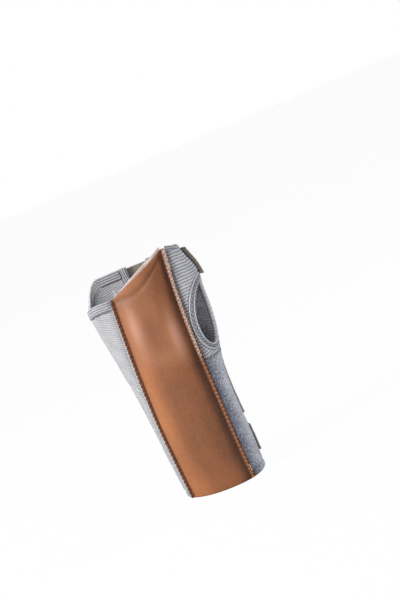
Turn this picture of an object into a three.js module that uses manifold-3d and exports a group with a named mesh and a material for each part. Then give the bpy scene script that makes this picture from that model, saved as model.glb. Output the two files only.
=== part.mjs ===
// Right-hand wrist splint: a leather palm panel over a removable aluminium stay, an elastic knit
// sleeve with a bound thumb opening, and three hook-and-loop straps across the open back.
// Millimetres. +Z runs from the forearm cuff to the fingers, -Y faces the palm side and +X the
// thumb side. The splint stands on its cuff edge; the origin is the middle of its box on that plane.
import * as THREE from "three";
import { mergeVertices } from "three/addons/utils/BufferGeometryUtils.js";
import Module from "manifold-3d";

const wasm = await Module();
wasm.setup();

// ---------------------------------------------------------------- driving dimensions

const LENGTH = 203; // cuff edge to the highest edge, beside the index finger
const PANEL_WIDTH = 58; // between the long edge seams before they lean in, across the chord
const PANEL_CROWN = 10; // how far the middle of the panel stands forward of its seams
const ULNAR_LEAN = 4.5; // the little finger edge of the panel leans in by this at the fingers
const CUFF_LEAN = 3.5; // its thumb side edge leans in by this at the cuff
const THUMB_LEAN = 2; // and by this from the thumb up
const BOW_RADIUS = 700; // the wrist is held slightly extended along this arc
const BOW_DROP = 103; // the sleeve is upright this far below the highest edge

const PALM_DROP_RADIAL = 2; // leather's finger edge below the highest edge, at the thumb side
const PALM_DROP_ULNAR = 24; // and at the little finger side
const ULNAR_SIDE_DROP = 28; // sleeve's finger edge at the little finger side
const DORSAL_DROP = 8; // sleeve's finger edge at the back opening
const HAND_SWAY = 4.5; // the panel leans this far to the thumb side at the fingers

const KNIT = 2; // elastic knit
const PLUSH = 2.4; // foam-backed loop fabric
const HEM = 3.2; // folded edge, all layers
const LEATHER = 1.4;
const LINING = 2.6; // foam-backed palm lining
const LINING_SHOW = 2; // lining stands past the leather at the finger edge
const GAP = 0.3; // air left between pieces that lie against each other

const WELT_WIDTH = 2.8; // overlocked edge seam along each side of the leather
const WELT_PROUD = 1.8;
const WELT_DEPTH = 3.2;

const STAY_WIDTH = 26;
const STAY_THICKNESS = 1.8;
const STAY_END = 9; // stay stops this far inside the leather's lower finger corner
const STAY_START = 6; // and this far above the cuff
const CAP_LENGTH = 12;
const CAP_WALL = 0.6;
const CAP_FIT = 0.15;
const POCKET_SLACK = 0.4; // each side of the capped stay

const DISTAL_HEM = 8; // band round the little finger side
const WEB_HEM = 5; // rolled edge in the thumb web and over the back
const CUFF_HEM = 6;
const OPENING = 18; // bare strip down the back, between the two edge tapes
const TAPE_WIDTH = 6;

const THUMB_HEIGHT = 52; // thumb opening, along the arm
const THUMB_DEPTH = 25; // thumb opening, palm side to back
const THUMB_DROP = 62; // its middle below the highest edge
const THUMB_TILT = 12; // degrees, top towards the back
const THUMB_REACH = 1.4; // how much further each way its tilt carries it
const THUMB_BINDING = 5.5;
const WEB_STRIP = 2.5; // knit left round the thumb binding

const HAND_STRAP = 25;
const WRIST_STRAP = 50;
const FOREARM_STRAP = 25;
const HAND_STRAP_DROP = 10; // its finger edge below the highest edge
const STRAP = 1.8;
const STRAP_SEWN = 22; // length sewn to the sleeve
const HOOK = 1;
const HOOK_LENGTH = 30;
const STRAP_CLEAR = 0.5; // at the peel line

const SPRING_WIDTH = 6; // flat spiral stay beside the back opening
const SPRING = 1.4;
const CHANNEL_WALL = 0.8;
const CHANNEL_INSET = 3; // from the edge tape
const CHANNEL_END = 14; // below the finger edge and above the cuff

const ROUNDNESS = 2.4; // of the sleeve's oval section: 2 is an ellipse, more is squarer

// Side form: how far the sleeve stands out past the seams, where its widest line lies and how deep
// it is, at heights counted from the cuff or down from the highest edge.
const FORM = [
  { height: 0, radial: 3.5, ulnar: 6.5, middle: 26.5, depth: 49 },
  { height: 22, radial: 4.5, ulnar: 7, middle: 27, depth: 50 },
  { height: LENGTH - 113, radial: 6.5, ulnar: 9, middle: 26, depth: 47 },
  { height: LENGTH - 62, radial: 18, ulnar: 15, middle: 25, depth: 43 },
  { height: LENGTH - 30, radial: 18, ulnar: 19, middle: 24, depth: 40 },
  { height: LENGTH - 12, radial: 12.5, ulnar: 19.5, middle: 23.5, depth: 39 },
  { height: LENGTH, radial: 8, ulnar: 19.5, middle: 23, depth: 38 },
];

// ---------------------------------------------------------------- worked-out sizes

const HALF_PANEL = PANEL_WIDTH / 2;
const PALM_RADIUS = (HALF_PANEL ** 2 + PANEL_CROWN ** 2) / (2 * PANEL_CROWN);
const BOW_HEIGHT = LENGTH - BOW_DROP;
const CAP_THICKNESS = STAY_THICKNESS + 2 * (CAP_FIT + CAP_WALL);
const POCKET_DEPTH = CAP_THICKNESS + 2 * POCKET_SLACK;
const STAY_DEPTH = LEATHER + POCKET_SLACK + CAP_WALL + CAP_FIT; // outer face of the bare stay
const STAY_TOP = LENGTH - PALM_DROP_ULNAR - STAY_END;
const THUMB_MIDDLE = LENGTH - THUMB_DROP;
const WEB_FOOT = THUMB_MIDDLE - THUMB_HEIGHT / 2 - THUMB_BINDING - WEB_STRIP;
const STRAP_SPACE = (WEB_FOOT - FOREARM_STRAP - WRIST_STRAP) / 3; // equal spaces below the thumb
const HOOK_OFFSET = KNIT / 2 + GAP;
const STRAP_OFFSET = HOOK_OFFSET + HOOK + GAP;
const RIGHT_ANGLE = Math.PI / 2;
const OVAL = 2 / ROUNDNESS;
const EASE = 0.7; // air between two curved cuts
const CUTTER = 5; // half the depth of a cutter through the cloth

const STRAPS = [
  {
    name: "hand_strap",
    low: LENGTH - HAND_STRAP_DROP - HAND_STRAP,
    width: HAND_STRAP,
    end: 106,
    lift: 1.6,
  },
  {
    name: "wrist_strap",
    low: 2 * STRAP_SPACE + FOREARM_STRAP,
    width: WRIST_STRAP,
    end: 120,
    lift: 0.5,
  },
  {
    name: "forearm_strap",
    low: STRAP_SPACE,
    width: FOREARM_STRAP,
    end: 120,
    lift: 0.6,
  },
];

// ---------------------------------------------------------------- the sleeve's form

// A smooth curve through the FORM rows' values of one key.
function form(key, height) {
  const last = FORM.length - 1;
  const clamped = THREE.MathUtils.clamp(height, FORM[0].height, FORM[last].height);
  let i = 0;
  while (i < last - 1 && clamped > FORM[i + 1].height) i++;
  const row = (k) => FORM[THREE.MathUtils.clamp(k, 0, last)];
  const slope = (k) => {
    const run = row(k + 1).height - row(k - 1).height;
    return (row(k + 1)[key] - row(k - 1)[key]) / run;
  };
  const run = row(i + 1).height - row(i).height;
  const t = (clamped - row(i).height) / run;
  return (
    (2 * t ** 3 - 3 * t ** 2 + 1) * row(i)[key] +
    (t ** 3 - 2 * t ** 2 + t) * run * slope(i) +
    (3 * t ** 2 - 2 * t ** 3) * row(i + 1)[key] +
    (t ** 3 - t ** 2) * run * slope(i + 1)
  );
}

// Carries a point of a flat section onto the bowed arm: every line along the arm becomes an arc
// about one axis, so the stay can slide in its pocket.
function bowed(x, y, z) {
  const rise = z - BOW_HEIGHT;
  return new THREE.Vector3(x, BOW_RADIUS - Math.sqrt((BOW_RADIUS - y) ** 2 - rise ** 2), z);
}

function sway(z) {
  const above = Math.max(0, z - WEB_FOOT) / (LENGTH - WEB_FOOT);
  return HAND_SWAY * above ** 2;
}

// side is 1 for the thumb side and -1 for the little finger side.

// How far an edge seam leans in towards the middle from its nominal half width.
function lean(side, z) {
  if (side < 0) {
    return ULNAR_LEAN * THREE.MathUtils.smoothstep(z, 0.25 * LENGTH, 0.84 * LENGTH);
  }
  return THREE.MathUtils.lerp(CUFF_LEAN, THUMB_LEAN, THREE.MathUtils.smoothstep(z, 0, WEB_FOOT));
}

const seamX = (side, z) => side * (HALF_PANEL - lean(side, z)) + sway(z);
const seamTurn = (side, z) => Math.asin(seamX(side, z) / PALM_RADIUS);

// A point in the panel's layers: turn is the angle round the palm arc, depth goes into the sleeve.
function palmPoint(turn, depth, z) {
  const radius = PALM_RADIUS - depth;
  return bowed(radius * Math.sin(turn), PALM_RADIUS - radius * Math.cos(turn), z);
}

// A signed power, for the rounded-oval sections.
const power = (value, exponent) => Math.sign(value) * Math.abs(value) ** exponent;

// The quarters that carry the sleeve from a seam round to the back.
function quarters(side, z) {
  const half = HALF_PANEL + form(side > 0 ? "radial" : "ulnar", z);
  const middle = form("middle", z);
  const startX = Math.abs(seamX(side, z));
  const startY = PALM_RADIUS - Math.sqrt(PALM_RADIUS ** 2 - startX ** 2) + KNIT / 2;
  const start = Math.asin((startX / half) ** (1 / OVAL));
  const front = (middle - startY) / Math.cos(start) ** OVAL;
  return { half, middle, start, front, back: form("depth", z) - middle };
}

// A point of the sleeve: angle 90 degrees is the side, 180 the middle of the back.
function sleevePoint(side, angle, offset, z) {
  const q = quarters(side, z);
  const deep = angle < RIGHT_ANGLE ? q.front : q.back;
  const sin = Math.sin(angle);
  const cos = Math.cos(angle);
  const normal = new THREE.Vector2(deep * power(sin, 2 - OVAL), -q.half * power(cos, 2 - OVAL));
  normal.normalize();
  const x = q.half * power(sin, OVAL) + offset * normal.x;
  return bowed(side * x, q.middle - deep * power(cos, OVAL) + offset * normal.y, z);
}

// The angle, past the side, where the sleeve is dorsalX from the middle line of the back.
function backAngle(side, dorsalX, z) {
  return Math.PI - Math.asin((dorsalX / quarters(side, z).half) ** (1 / OVAL));
}

// The angle where the sleeve is a given length of cloth away from the seam.
function angleAlong(side, cloth, z) {
  const step = 0.01;
  let angle = quarters(side, z).start;
  let here = sleevePoint(side, angle, 0, z);
  for (let left = cloth; ; ) {
    const next = sleevePoint(side, angle + step, 0, z);
    const length = next.distanceTo(here);
    if (length >= left) return angle + (step * left) / length;
    left -= length;
    angle += step;
    here = next;
  }
}

// Finger edge of the sleeve, from the seam round to the back.
function topEdge(side, angle) {
  const seam = LENGTH - (side > 0 ? 0 : PALM_DROP_ULNAR);
  const flank = LENGTH - (side > 0 ? DORSAL_DROP / 2 : ULNAR_SIDE_DROP);
  const back = LENGTH - DORSAL_DROP;
  if (angle < RIGHT_ANGLE)
    return THREE.MathUtils.lerp(seam, flank, THREE.MathUtils.smoothstep(angle, 0.7, RIGHT_ANGLE));
  return THREE.MathUtils.lerp(flank, back, THREE.MathUtils.smoothstep(angle, RIGHT_ANGLE, 2.4));
}

// ---------------------------------------------------------------- making solids

// A closed slab over a grid: at(u, v, face) gives its points, with face 0 inside and 1 outside.
function slab(columns, rows, at) {
  const positions = [];
  const index = [];
  const id = (i, j, face) => (face * (rows + 1) + j) * (columns + 1) + i;
  for (const face of [0, 1])
    for (let j = 0; j <= rows; j++)
      for (let i = 0; i <= columns; i++)
        positions.push(...at(i / columns, j / rows, face).toArray());
  const quad = (a, b, c, d) => index.push(a, b, c, a, c, d);
  for (let j = 0; j < rows; j++)
    for (let i = 0; i < columns; i++) {
      quad(id(i, j, 1), id(i + 1, j, 1), id(i + 1, j + 1, 1), id(i, j + 1, 1));
      quad(id(i, j, 0), id(i, j + 1, 0), id(i + 1, j + 1, 0), id(i + 1, j, 0));
    }
  for (let i = 0; i < columns; i++) {
    quad(id(i, 0, 0), id(i + 1, 0, 0), id(i + 1, 0, 1), id(i, 0, 1));
    quad(id(i, rows, 0), id(i, rows, 1), id(i + 1, rows, 1), id(i + 1, rows, 0));
  }
  for (let j = 0; j < rows; j++) {
    quad(id(0, j, 0), id(0, j, 1), id(0, j + 1, 1), id(0, j + 1, 0));
    quad(id(columns, j, 0), id(columns, j + 1, 0), id(columns, j + 1, 1), id(columns, j, 1));
  }
  return facingOut(new Float32Array(positions), new Uint32Array(index));
}

// A manifold solid of a closed triangle list, turned so that its faces point out.
function facingOut(vertProperties, triVerts) {
  const solid = new wasm.Manifold(new wasm.Mesh({ numProp: 3, vertProperties, triVerts }));
  if (solid.volume() >= 0) return solid;
  for (let i = 0; i < triVerts.length; i += 3)
    [triVerts[i + 1], triVerts[i + 2]] = [triVerts[i + 2], triVerts[i + 1]];
  return new wasm.Manifold(new wasm.Mesh({ numProp: 3, vertProperties, triVerts }));
}

// A manifold solid of a three.js geometry.
function solidOf(geometry) {
  const bare = geometry.clone().deleteAttribute("normal").deleteAttribute("uv");
  const merged = mergeVertices(bare, 1e-4);
  return facingOut(
    new Float32Array(merged.attributes.position.array),
    new Uint32Array(merged.index.array),
  );
}

function geometryOf(solid) {
  const mesh = solid.getMesh();
  const positions = new Float32Array(mesh.numVert * 3);
  for (let i = 0; i < mesh.numVert; i++) {
    const from = i * mesh.numProp;
    positions.set(mesh.vertProperties.subarray(from, from + 3), i * 3);
  }
  const geometry = new THREE.BufferGeometry();
  geometry.setAttribute("position", new THREE.BufferAttribute(positions, 3));
  geometry.setIndex(new THREE.BufferAttribute(mesh.triVerts, 1));
  geometry.computeVertexNormals();
  return geometry;
}

// A block between two corners.
function block(low, high) {
  const size = high.clone().sub(low);
  const middle = low.clone().add(high).multiplyScalar(0.5);
  const box = new THREE.BoxGeometry(size.x, size.y, size.z);
  return solidOf(box.translate(middle.x, middle.y, middle.z));
}

const materials = {
  knit: { color: 0xb9b8c0, roughness: 0.95 },
  plush: { color: 0x9c9dab, roughness: 1 },
  binding: { color: 0xa4a5b0, roughness: 0.9 },
  leather: { color: 0x96603f, roughness: 0.48 },
  lining: { color: 0xe4d6cc, roughness: 0.95 },
  thread: { color: 0xb08a6c, roughness: 0.8 },
  hook: { color: 0x978878, roughness: 0.7 },
  aluminium: { color: 0xc4c7ca, roughness: 0.35, metalness: 1 },
  vinyl: { color: 0x2b2c2f, roughness: 0.5 },
  steel: { color: 0x9da0a3, roughness: 0.3, metalness: 1 },
};

const pieces = new THREE.Group();

function addPiece(name, solid, finish) {
  const material = new THREE.MeshStandardMaterial({ name: finish, ...materials[finish] });
  const mesh = new THREE.Mesh(geometryOf(solid), material);
  mesh.name = name;
  pieces.add(mesh);
}

// ---------------------------------------------------------------- palm panel, seams and stay

const panelTop = (u) =>
  LENGTH - THREE.MathUtils.lerp(PALM_DROP_ULNAR, PALM_DROP_RADIAL, u);

// A layer of the panel between its seams, with its inner and outer depth as functions of u.
function panelLayer(columns, outer, inner, top) {
  const margin = (WELT_WIDTH / 2 + GAP) / PALM_RADIUS;
  return slab(columns, 14, (u, v, face) => {
    const z = v * top(u);
    const turn = THREE.MathUtils.lerp(seamTurn(-1, z) + margin, seamTurn(1, z) - margin, u);
    return palmPoint(turn, face ? outer(turn) : inner(turn), z);
  });
}

function palmPanel() {
  addPiece("leather_panel", panelLayer(10, () => 0, () => LEATHER, panelTop), "leather");
  const pocketHalf = STAY_WIDTH / 2 + CAP_FIT + CAP_WALL + POCKET_SLACK;
  const shutHalf = HALF_PANEL - HAND_SWAY - WELT_WIDTH;
  const flat = Math.asin(pocketHalf / PALM_RADIUS);
  const shut = Math.asin(shutHalf / PALM_RADIUS);
  const columns = Math.ceil((2 * PANEL_WIDTH) / (shutHalf - pocketHalf)); // two to a closing slope
  const outer = (turn) => {
    const closing = THREE.MathUtils.smoothstep(Math.abs(turn), flat, shut);
    return LEATHER + THREE.MathUtils.lerp(POCKET_DEPTH, GAP, closing);
  };
  const inner = (turn) => outer(turn) + LINING;
  const top = (u) => panelTop(u) + LINING_SHOW;
  addPiece("panel_lining", panelLayer(columns, outer, inner, top), "lining");
}

// The seam's welt: width and depths grow by clear, to cut room for it in its neighbours.
function welt(side, clear) {
  const half = (WELT_WIDTH / 2 + clear) / PALM_RADIUS;
  const top = panelTop(side > 0 ? 1 : 0) + clear;
  return slab(1, 14, (u, v, face) => {
    const z = THREE.MathUtils.lerp(-clear, top, v);
    const turn = seamTurn(side, z) + THREE.MathUtils.lerp(-half, half, u);
    return palmPoint(turn, face ? -WELT_PROUD - clear : WELT_DEPTH + clear, z);
  });
}

// A strip along the stay's path, between two heights, grown by extra on each face and edge.
function stayStrip(low, high, extra) {
  const half = Math.asin((STAY_WIDTH / 2 + extra) / PALM_RADIUS);
  return slab(4, Math.max(1, Math.round((high - low) / 14)), (u, v, face) => {
    const turn = THREE.MathUtils.lerp(-half, half, u);
    const depth = face ? STAY_DEPTH - extra : STAY_DEPTH + STAY_THICKNESS + extra;
    return palmPoint(turn, depth, THREE.MathUtils.lerp(low, high, v));
  });
}

function palmStay() {
  addPiece("palmar_stay", stayStrip(STAY_START, STAY_TOP, 0), "aluminium");
  const wall = CAP_FIT + CAP_WALL;
  const tips = [
    ["stay_cap_cuff_end", STAY_START - wall, STAY_START + CAP_LENGTH, 1],
    ["stay_cap_finger_end", STAY_TOP - CAP_LENGTH, STAY_TOP + wall, -1],
  ];
  for (const [name, low, high, mouth] of tips) {
    const reach = mouth > 0 ? [low + CAP_WALL, high + 1] : [low - 1, high - CAP_WALL];
    const hollow = stayStrip(reach[0], reach[1], CAP_FIT);
    addPiece(name, stayStrip(low, high, wall).subtract(hollow), "vinyl");
  }
}

// ---------------------------------------------------------------- the sleeve

// A band of the sleeve between two angles and two heights, each given as a function.
function sleeveBand(side, grid, angles, heights, offsets) {
  return slab(grid[0], grid[1], (u, v, face) => {
    // The edges' angles depend on height and the other way round, so the height is settled first.
    const rough = THREE.MathUtils.lerp(angles[0](WEB_FOOT), angles[1](WEB_FOOT), u);
    const z = THREE.MathUtils.lerp(heights[0](rough), heights[1](rough), v);
    const angle = THREE.MathUtils.lerp(angles[0](z), angles[1](z), u);
    return sleevePoint(side, angle, offsets[face], z);
  });
}

const seamAngle = (side) => (z) => quarters(side, z).start;
const tapeAngle = (side, extra) => (z) =>
  backAngle(side, OPENING / 2 + TAPE_WIDTH + extra, z);
const openAngle = (side) => (z) => backAngle(side, OPENING / 2, z);
const topHem = (side) => (side > 0 ? WEB_HEM : DISTAL_HEM);

function sleeveSide(side, prefix) {
  const seam = seamAngle(side);
  const tape = tapeAngle(side, GAP);
  const edge = (angle) => topEdge(side, angle);
  const hemFoot = (angle) => edge(angle) - topHem(side);
  const room = welt(side, GAP);
  const hem = [KNIT / 2 - HEM, KNIT / 2]; // folded to the inside
  const finish = side > 0 ? "plush" : "knit";
  const upper = sleeveBand(side, [14, 1], [seam, tape], [hemFoot, edge], hem);
  addPiece(prefix + "_finger_hem", upper.subtract(room), "binding");
  const hemTop = () => CUFF_HEM;
  const lower = sleeveBand(side, [14, 1], [seam, tape], [() => 0, hemTop], hem);
  addPiece(prefix + "_cuff_hem", lower.subtract(room), finish);
  const tapeBand = sleeveBand(
    side,
    [1, 14],
    [tapeAngle(side, 0), openAngle(side)],
    [() => 0, edge],
    hem,
  );
  addPiece(prefix + "_opening_tape", tapeBand, "binding");
  springStay(side, prefix);
}

// The main cloth of one side, between its hems.
function sleeveCloth(side, thickness) {
  const edge = (angle) => topEdge(side, angle) - topHem(side) - EASE;
  const foot = () => CUFF_HEM + GAP;
  const offsets = [KNIT / 2 - thickness, KNIT / 2];
  const angles = [seamAngle(side), tapeAngle(side, GAP)];
  return sleeveBand(side, [14, 14], angles, [foot, edge], offsets).subtract(welt(side, GAP));
}

const THUMB_EDGE = WELT_WIDTH / 2 + GAP; // cloth from the seam to the binding
const WEB_SEAM = THUMB_EDGE + THUMB_DEPTH + 2 * (THUMB_BINDING + WEB_STRIP);

// A plug for the thumb opening, grown outwards by extra: an oval laid out on the cloth.
function thumbPlug(extra) {
  const tilt = THREE.MathUtils.degToRad(THUMB_TILT);
  return slab(14, 14, (u, v, face) => {
    const a = 2 * u - 1;
    const b = 2 * v - 1;
    const across = (THUMB_DEPTH / 2 + extra) * a * Math.sqrt(1 - (b * b) / 2);
    const along = (THUMB_HEIGHT / 2 + extra) * b * Math.sqrt(1 - (a * a) / 2);
    const z = THUMB_MIDDLE + along * Math.cos(tilt) - across * Math.sin(tilt);
    const cloth = along * Math.sin(tilt) + across * Math.cos(tilt);
    const middle = THUMB_EDGE + THUMB_BINDING + THUMB_DEPTH / 2 + THUMB_REACH;
    return sleevePoint(1, angleAlong(1, middle + cloth, z), face ? CUTTER : -CUTTER, z);
  });
}

// The knit round the thumb opening is its own piece, joined to the wing below and behind it.
function webRoom(clear) {
  return sleeveBand(
    1,
    [12, 14],
    [(z) => quarters(1, z).start - 0.1, (z) => angleAlong(1, WEB_SEAM + clear, z)],
    [() => WEB_FOOT - clear, () => LENGTH + CUTTER],
    [-CUTTER, CUTTER],
  );
}

function thumbSide() {
  addPiece("thumb_side_wing", sleeveCloth(1, PLUSH).subtract(webRoom(GAP / 2)), "plush");
  const web = sleeveCloth(1, KNIT).intersect(webRoom(-GAP / 2));
  addPiece("web_knit", web.subtract(thumbPlug(THUMB_BINDING + EASE)), "knit");
  const shell = sleeveBand(
    1,
    [14, 12],
    [seamAngle(1), (z) => angleAlong(1, WEB_SEAM, z)],
    [() => WEB_FOOT - WEB_STRIP, () => THUMB_MIDDLE + THUMB_HEIGHT],
    [KNIT / 2 - HEM, KNIT / 2],
  );
  const ring = shell.intersect(thumbPlug(THUMB_BINDING)).subtract(thumbPlug(0));
  addPiece("thumb_binding", ring.subtract(welt(1, GAP)), "binding");
}

// A flat spiral stay in its sewn channel, on the inside of the sleeve beside the back opening.
function springStay(side, prefix) {
  const skin = side > 0 ? PLUSH - KNIT / 2 : KNIT / 2;
  const near = OPENING / 2 + TAPE_WIDTH + CHANNEL_INSET;
  const wide = SPRING_WIDTH + 2 * (CHANNEL_WALL + GAP);
  const strip = (from, to, outer, inner, low, high) =>
    sleeveBand(
      side,
      [1, 12],
      [(z) => backAngle(side, to, z), (z) => backAngle(side, from, z)],
      [() => low, () => high],
      [inner, outer],
    );
  const face = -skin - GAP;
  const back = face - SPRING - 2 * (CHANNEL_WALL + GAP);
  const low = CHANNEL_END;
  const high = topEdge(side, backAngle(side, near, LENGTH)) - CHANNEL_END;
  const tube = strip(near, near + wide, face, back, low, high);
  const bore = CHANNEL_WALL;
  const hollow = strip(near + bore, near + wide - bore, face - bore, back + bore, low - 1, high + 1);
  addPiece(prefix + "_stay_channel", tube.subtract(hollow), side > 0 ? "plush" : "knit");
  const fit = CHANNEL_WALL + GAP;
  const spring = strip(near + fit, near + wide - fit, face - fit, back + fit, low + 2, high - 2);
  addPiece(prefix + "_spring_stay", spring, "steel");
}

// ---------------------------------------------------------------- straps

// A strap over the back: turn is the angle from the middle of the back, positive to the thumb side.
function overBack(turn, offset, z) {
  return sleevePoint(turn < 0 ? -1 : 1, Math.PI - Math.abs(turn), offset, z);
}

function strapPieces(strap) {
  const middle = strap.low + strap.width / 2;
  const peelX = OPENING / 2 + TAPE_WIDTH;
  const peel = -(Math.PI - backAngle(-1, peelX - STRAP_CLEAR / 2, middle));
  const sewn = -(Math.PI - backAngle(-1, peelX + STRAP_CLEAR / 2, middle));
  const rootTurn = sewn - STRAP_SEWN / quarters(-1, middle).half;
  const endTurn = Math.PI - THREE.MathUtils.degToRad(strap.end);
  const hookTurn = endTurn - HOOK_LENGTH / quarters(1, middle).half;
  const lift = (turn) => strap.lift * THREE.MathUtils.smoothstep(turn, hookTurn, endTurn);
  const layer = (columns, from, to, low, high, inset) =>
    slab(columns, 2, (u, v, face) => {
      const turn = THREE.MathUtils.lerp(from, to, u);
      const z = THREE.MathUtils.lerp(strap.low + inset, strap.low + strap.width - inset, v);
      return overBack(turn, (face ? high : low) + lift(turn), z);
    });
  const base = layer(4, rootTurn, sewn, HOOK_OFFSET, HOOK_OFFSET + STRAP, 0);
  const free = layer(14, peel, endTurn, STRAP_OFFSET, STRAP_OFFSET + STRAP, 0);
  const hook = layer(5, hookTurn, endTurn, HOOK_OFFSET, HOOK_OFFSET + HOOK, 1);
  addPiece(strap.name + "_base", base, "plush");
  addPiece(strap.name, free, "plush");
  addPiece(strap.name + "_hook", hook, "hook");
}

// ---------------------------------------------------------------- assembly

palmPanel();
addPiece("ulnar_edge_seam", welt(-1, 0), "thread");
addPiece("thumb_side_edge_seam", welt(1, 0), "thread");
palmStay();
sleeveSide(-1, "ulnar");
addPiece("ulnar_knit", sleeveCloth(-1, KNIT), "knit");
sleeveSide(1, "thumb_side");
thumbSide();
STRAPS.forEach(strapPieces);

// The splint's frame: middle of its box, on the cuff's plane.
const box = new THREE.Box3().setFromObject(pieces, true);
const centre = box.getCenter(new THREE.Vector3());
pieces.position.set(-centre.x, -centre.y, 0);

const splint = new THREE.Group();
splint.add(pieces);

export default splint;
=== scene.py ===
import math

import bmesh
import bpy
import numpy as np
from mathutils import Matrix, Vector
from mathutils.kdtree import KDTree


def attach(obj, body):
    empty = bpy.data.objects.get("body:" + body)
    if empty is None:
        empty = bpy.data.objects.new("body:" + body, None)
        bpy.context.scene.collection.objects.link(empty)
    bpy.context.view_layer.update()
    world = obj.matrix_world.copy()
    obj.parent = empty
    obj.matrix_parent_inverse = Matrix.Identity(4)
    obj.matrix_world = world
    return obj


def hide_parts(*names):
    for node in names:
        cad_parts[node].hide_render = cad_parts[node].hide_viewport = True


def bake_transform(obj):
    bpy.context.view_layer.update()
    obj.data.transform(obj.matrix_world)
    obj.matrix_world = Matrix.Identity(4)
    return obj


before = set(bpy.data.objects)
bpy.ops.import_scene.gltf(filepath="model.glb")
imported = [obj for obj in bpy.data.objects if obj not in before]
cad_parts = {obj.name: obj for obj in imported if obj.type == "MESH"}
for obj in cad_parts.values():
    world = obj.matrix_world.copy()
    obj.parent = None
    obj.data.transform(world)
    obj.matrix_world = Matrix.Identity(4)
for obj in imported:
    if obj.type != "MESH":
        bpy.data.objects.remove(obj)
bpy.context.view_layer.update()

# ---------------------------------------------------------------- studio
# A pale seamless table and backdrop with one large soft light high on the little finger side,
# a weak one opposite and an even white room. Camera low in front of the palm, tipped to the side.


def node(tree, kind, props=None, **inputs):
    made = tree.nodes.new(kind)
    for key, value in (props or {}).items():
        setattr(made, key, value)
    for key, value in inputs.items():
        name = key.replace("_", " ")
        socket = made.inputs[int(key[1:])] if key[0] == "i" and key[1:].isdigit() else made.inputs[name]
        if isinstance(value, bpy.types.NodeSocket):
            tree.links.new(value, socket)
        else:
            socket.default_value = value
    return made


def calc(tree, operation, a, b=0.0, c=0.0):
    return node(tree, "ShaderNodeMath", {"operation": operation}, i0=a, i1=b, i2=c).outputs[0]


def blank(name):
    made = bpy.data.materials.new(name)
    made.use_nodes = True
    made.node_tree.nodes.clear()
    return made, made.node_tree


def close(tree, shader):
    node(tree, "ShaderNodeOutputMaterial", Surface=shader)


world = bpy.data.worlds.new("room")
bpy.context.scene.world = world
world.use_nodes = True
room = world.node_tree
room.nodes.clear()
seen = node(room, "ShaderNodeLightPath").outputs["Is Camera Ray"]
ambient = node(room, "ShaderNodeBackground", Color=(0.97, 0.98, 1.0, 1.0), Strength=0.36)
backdrop = node(room, "ShaderNodeBackground", Color=(1.0, 1.0, 1.0, 1.0), Strength=1.0)
both = node(room, "ShaderNodeMixShader", i0=seen, i1=ambient.outputs[0], i2=backdrop.outputs[0])
node(room, "ShaderNodeOutputWorld", Surface=both.outputs[0])

bpy.ops.mesh.primitive_plane_add(size=8, location=(0, 0, -0.0002))
floor = bpy.context.object
floor.name = "table_top"
floor_paint, tree = blank("table_paint")
seen = node(tree, "ShaderNodeLightPath").outputs["Is Camera Ray"]
paint = node(tree, "ShaderNodeBsdfDiffuse", Color=(0.95, 0.95, 0.95, 1.0))
glow = node(tree, "ShaderNodeEmission", Color=(1.0, 1.0, 1.0, 1.0), Strength=1.0)
lit = node(tree, "ShaderNodeMixShader", i0=0.95, i1=paint.outputs[0], i2=glow.outputs[0])
mixed = node(tree, "ShaderNodeMixShader", i0=seen, i1=paint.outputs[0], i2=lit.outputs[0])
close(tree, mixed.outputs[0])
floor.data.materials.append(floor_paint)


def soft_light(name, azimuth, elevation, distance, size, power, colour):
    light = bpy.data.lights.new(name, "AREA")
    light.size = size
    light.energy = power
    light.color = colour
    lamp = bpy.data.objects.new(name, light)
    bpy.context.collection.objects.link(lamp)
    a = math.radians(azimuth)
    e = math.radians(elevation)
    away = Vector((math.sin(a) * math.cos(e), -math.cos(a) * math.cos(e), math.sin(e)))
    lamp.location = Vector((0, 0, 0.1)) + away * distance
    lamp.rotation_euler = away.to_track_quat("Z", "Y").to_euler()


soft_light("key", -50, 24, 1.25, 0.6, 13.0, (1.0, 0.98, 0.95))
soft_light("front", -8, 30, 1.5, 0.5, 3.2, (1.0, 1.0, 1.0))
soft_light("rim", 112, 16, 1.2, 0.5, 5.0, (0.95, 0.97, 1.0))
soft_light("top", 10, 82, 1.3, 0.7, 2.5, (1.0, 1.0, 1.0))

VIEW_AZIMUTH = math.radians(14.5)
VIEW_ELEVATION = math.radians(12)
VIEW_TIP = math.radians(-24)
VIEW_DISTANCE = 1.17
back = Vector(
    (
        math.sin(VIEW_AZIMUTH) * math.cos(VIEW_ELEVATION),
        -math.cos(VIEW_AZIMUTH) * math.cos(VIEW_ELEVATION),
        math.sin(VIEW_ELEVATION),
    )
)
level = Vector((math.cos(VIEW_AZIMUTH), math.sin(VIEW_AZIMUTH), 0))
upright = back.cross(level)
right = level * math.cos(VIEW_TIP) + upright * math.sin(VIEW_TIP)
up = upright * math.cos(VIEW_TIP) - level * math.sin(VIEW_TIP)
lens = bpy.data.cameras.new("camera")
lens.lens = 86.4
lens.sensor_width = 36
lens.shift_x = 0.0325
lens.shift_y = 0.1208
camera = bpy.data.objects.new("camera", lens)
bpy.context.collection.objects.link(camera)
turn = Matrix((right, up, back)).transposed()
camera.matrix_world = Matrix.Translation(Vector((0, 0, 0.1)) + back * VIEW_DISTANCE) @ turn.to_4x4()
bpy.context.scene.camera = camera
bpy.context.scene.view_settings.view_transform = "Standard"

# ---------------------------------------------------------------- leather palm panel
# Smooth brown cowhide 1.4 mm thick, cut as a slanted strip and pulled over the stay. Its finger edge
# is turned in as the mouth of the stay pocket, and stitches pucker both long edges.

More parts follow.
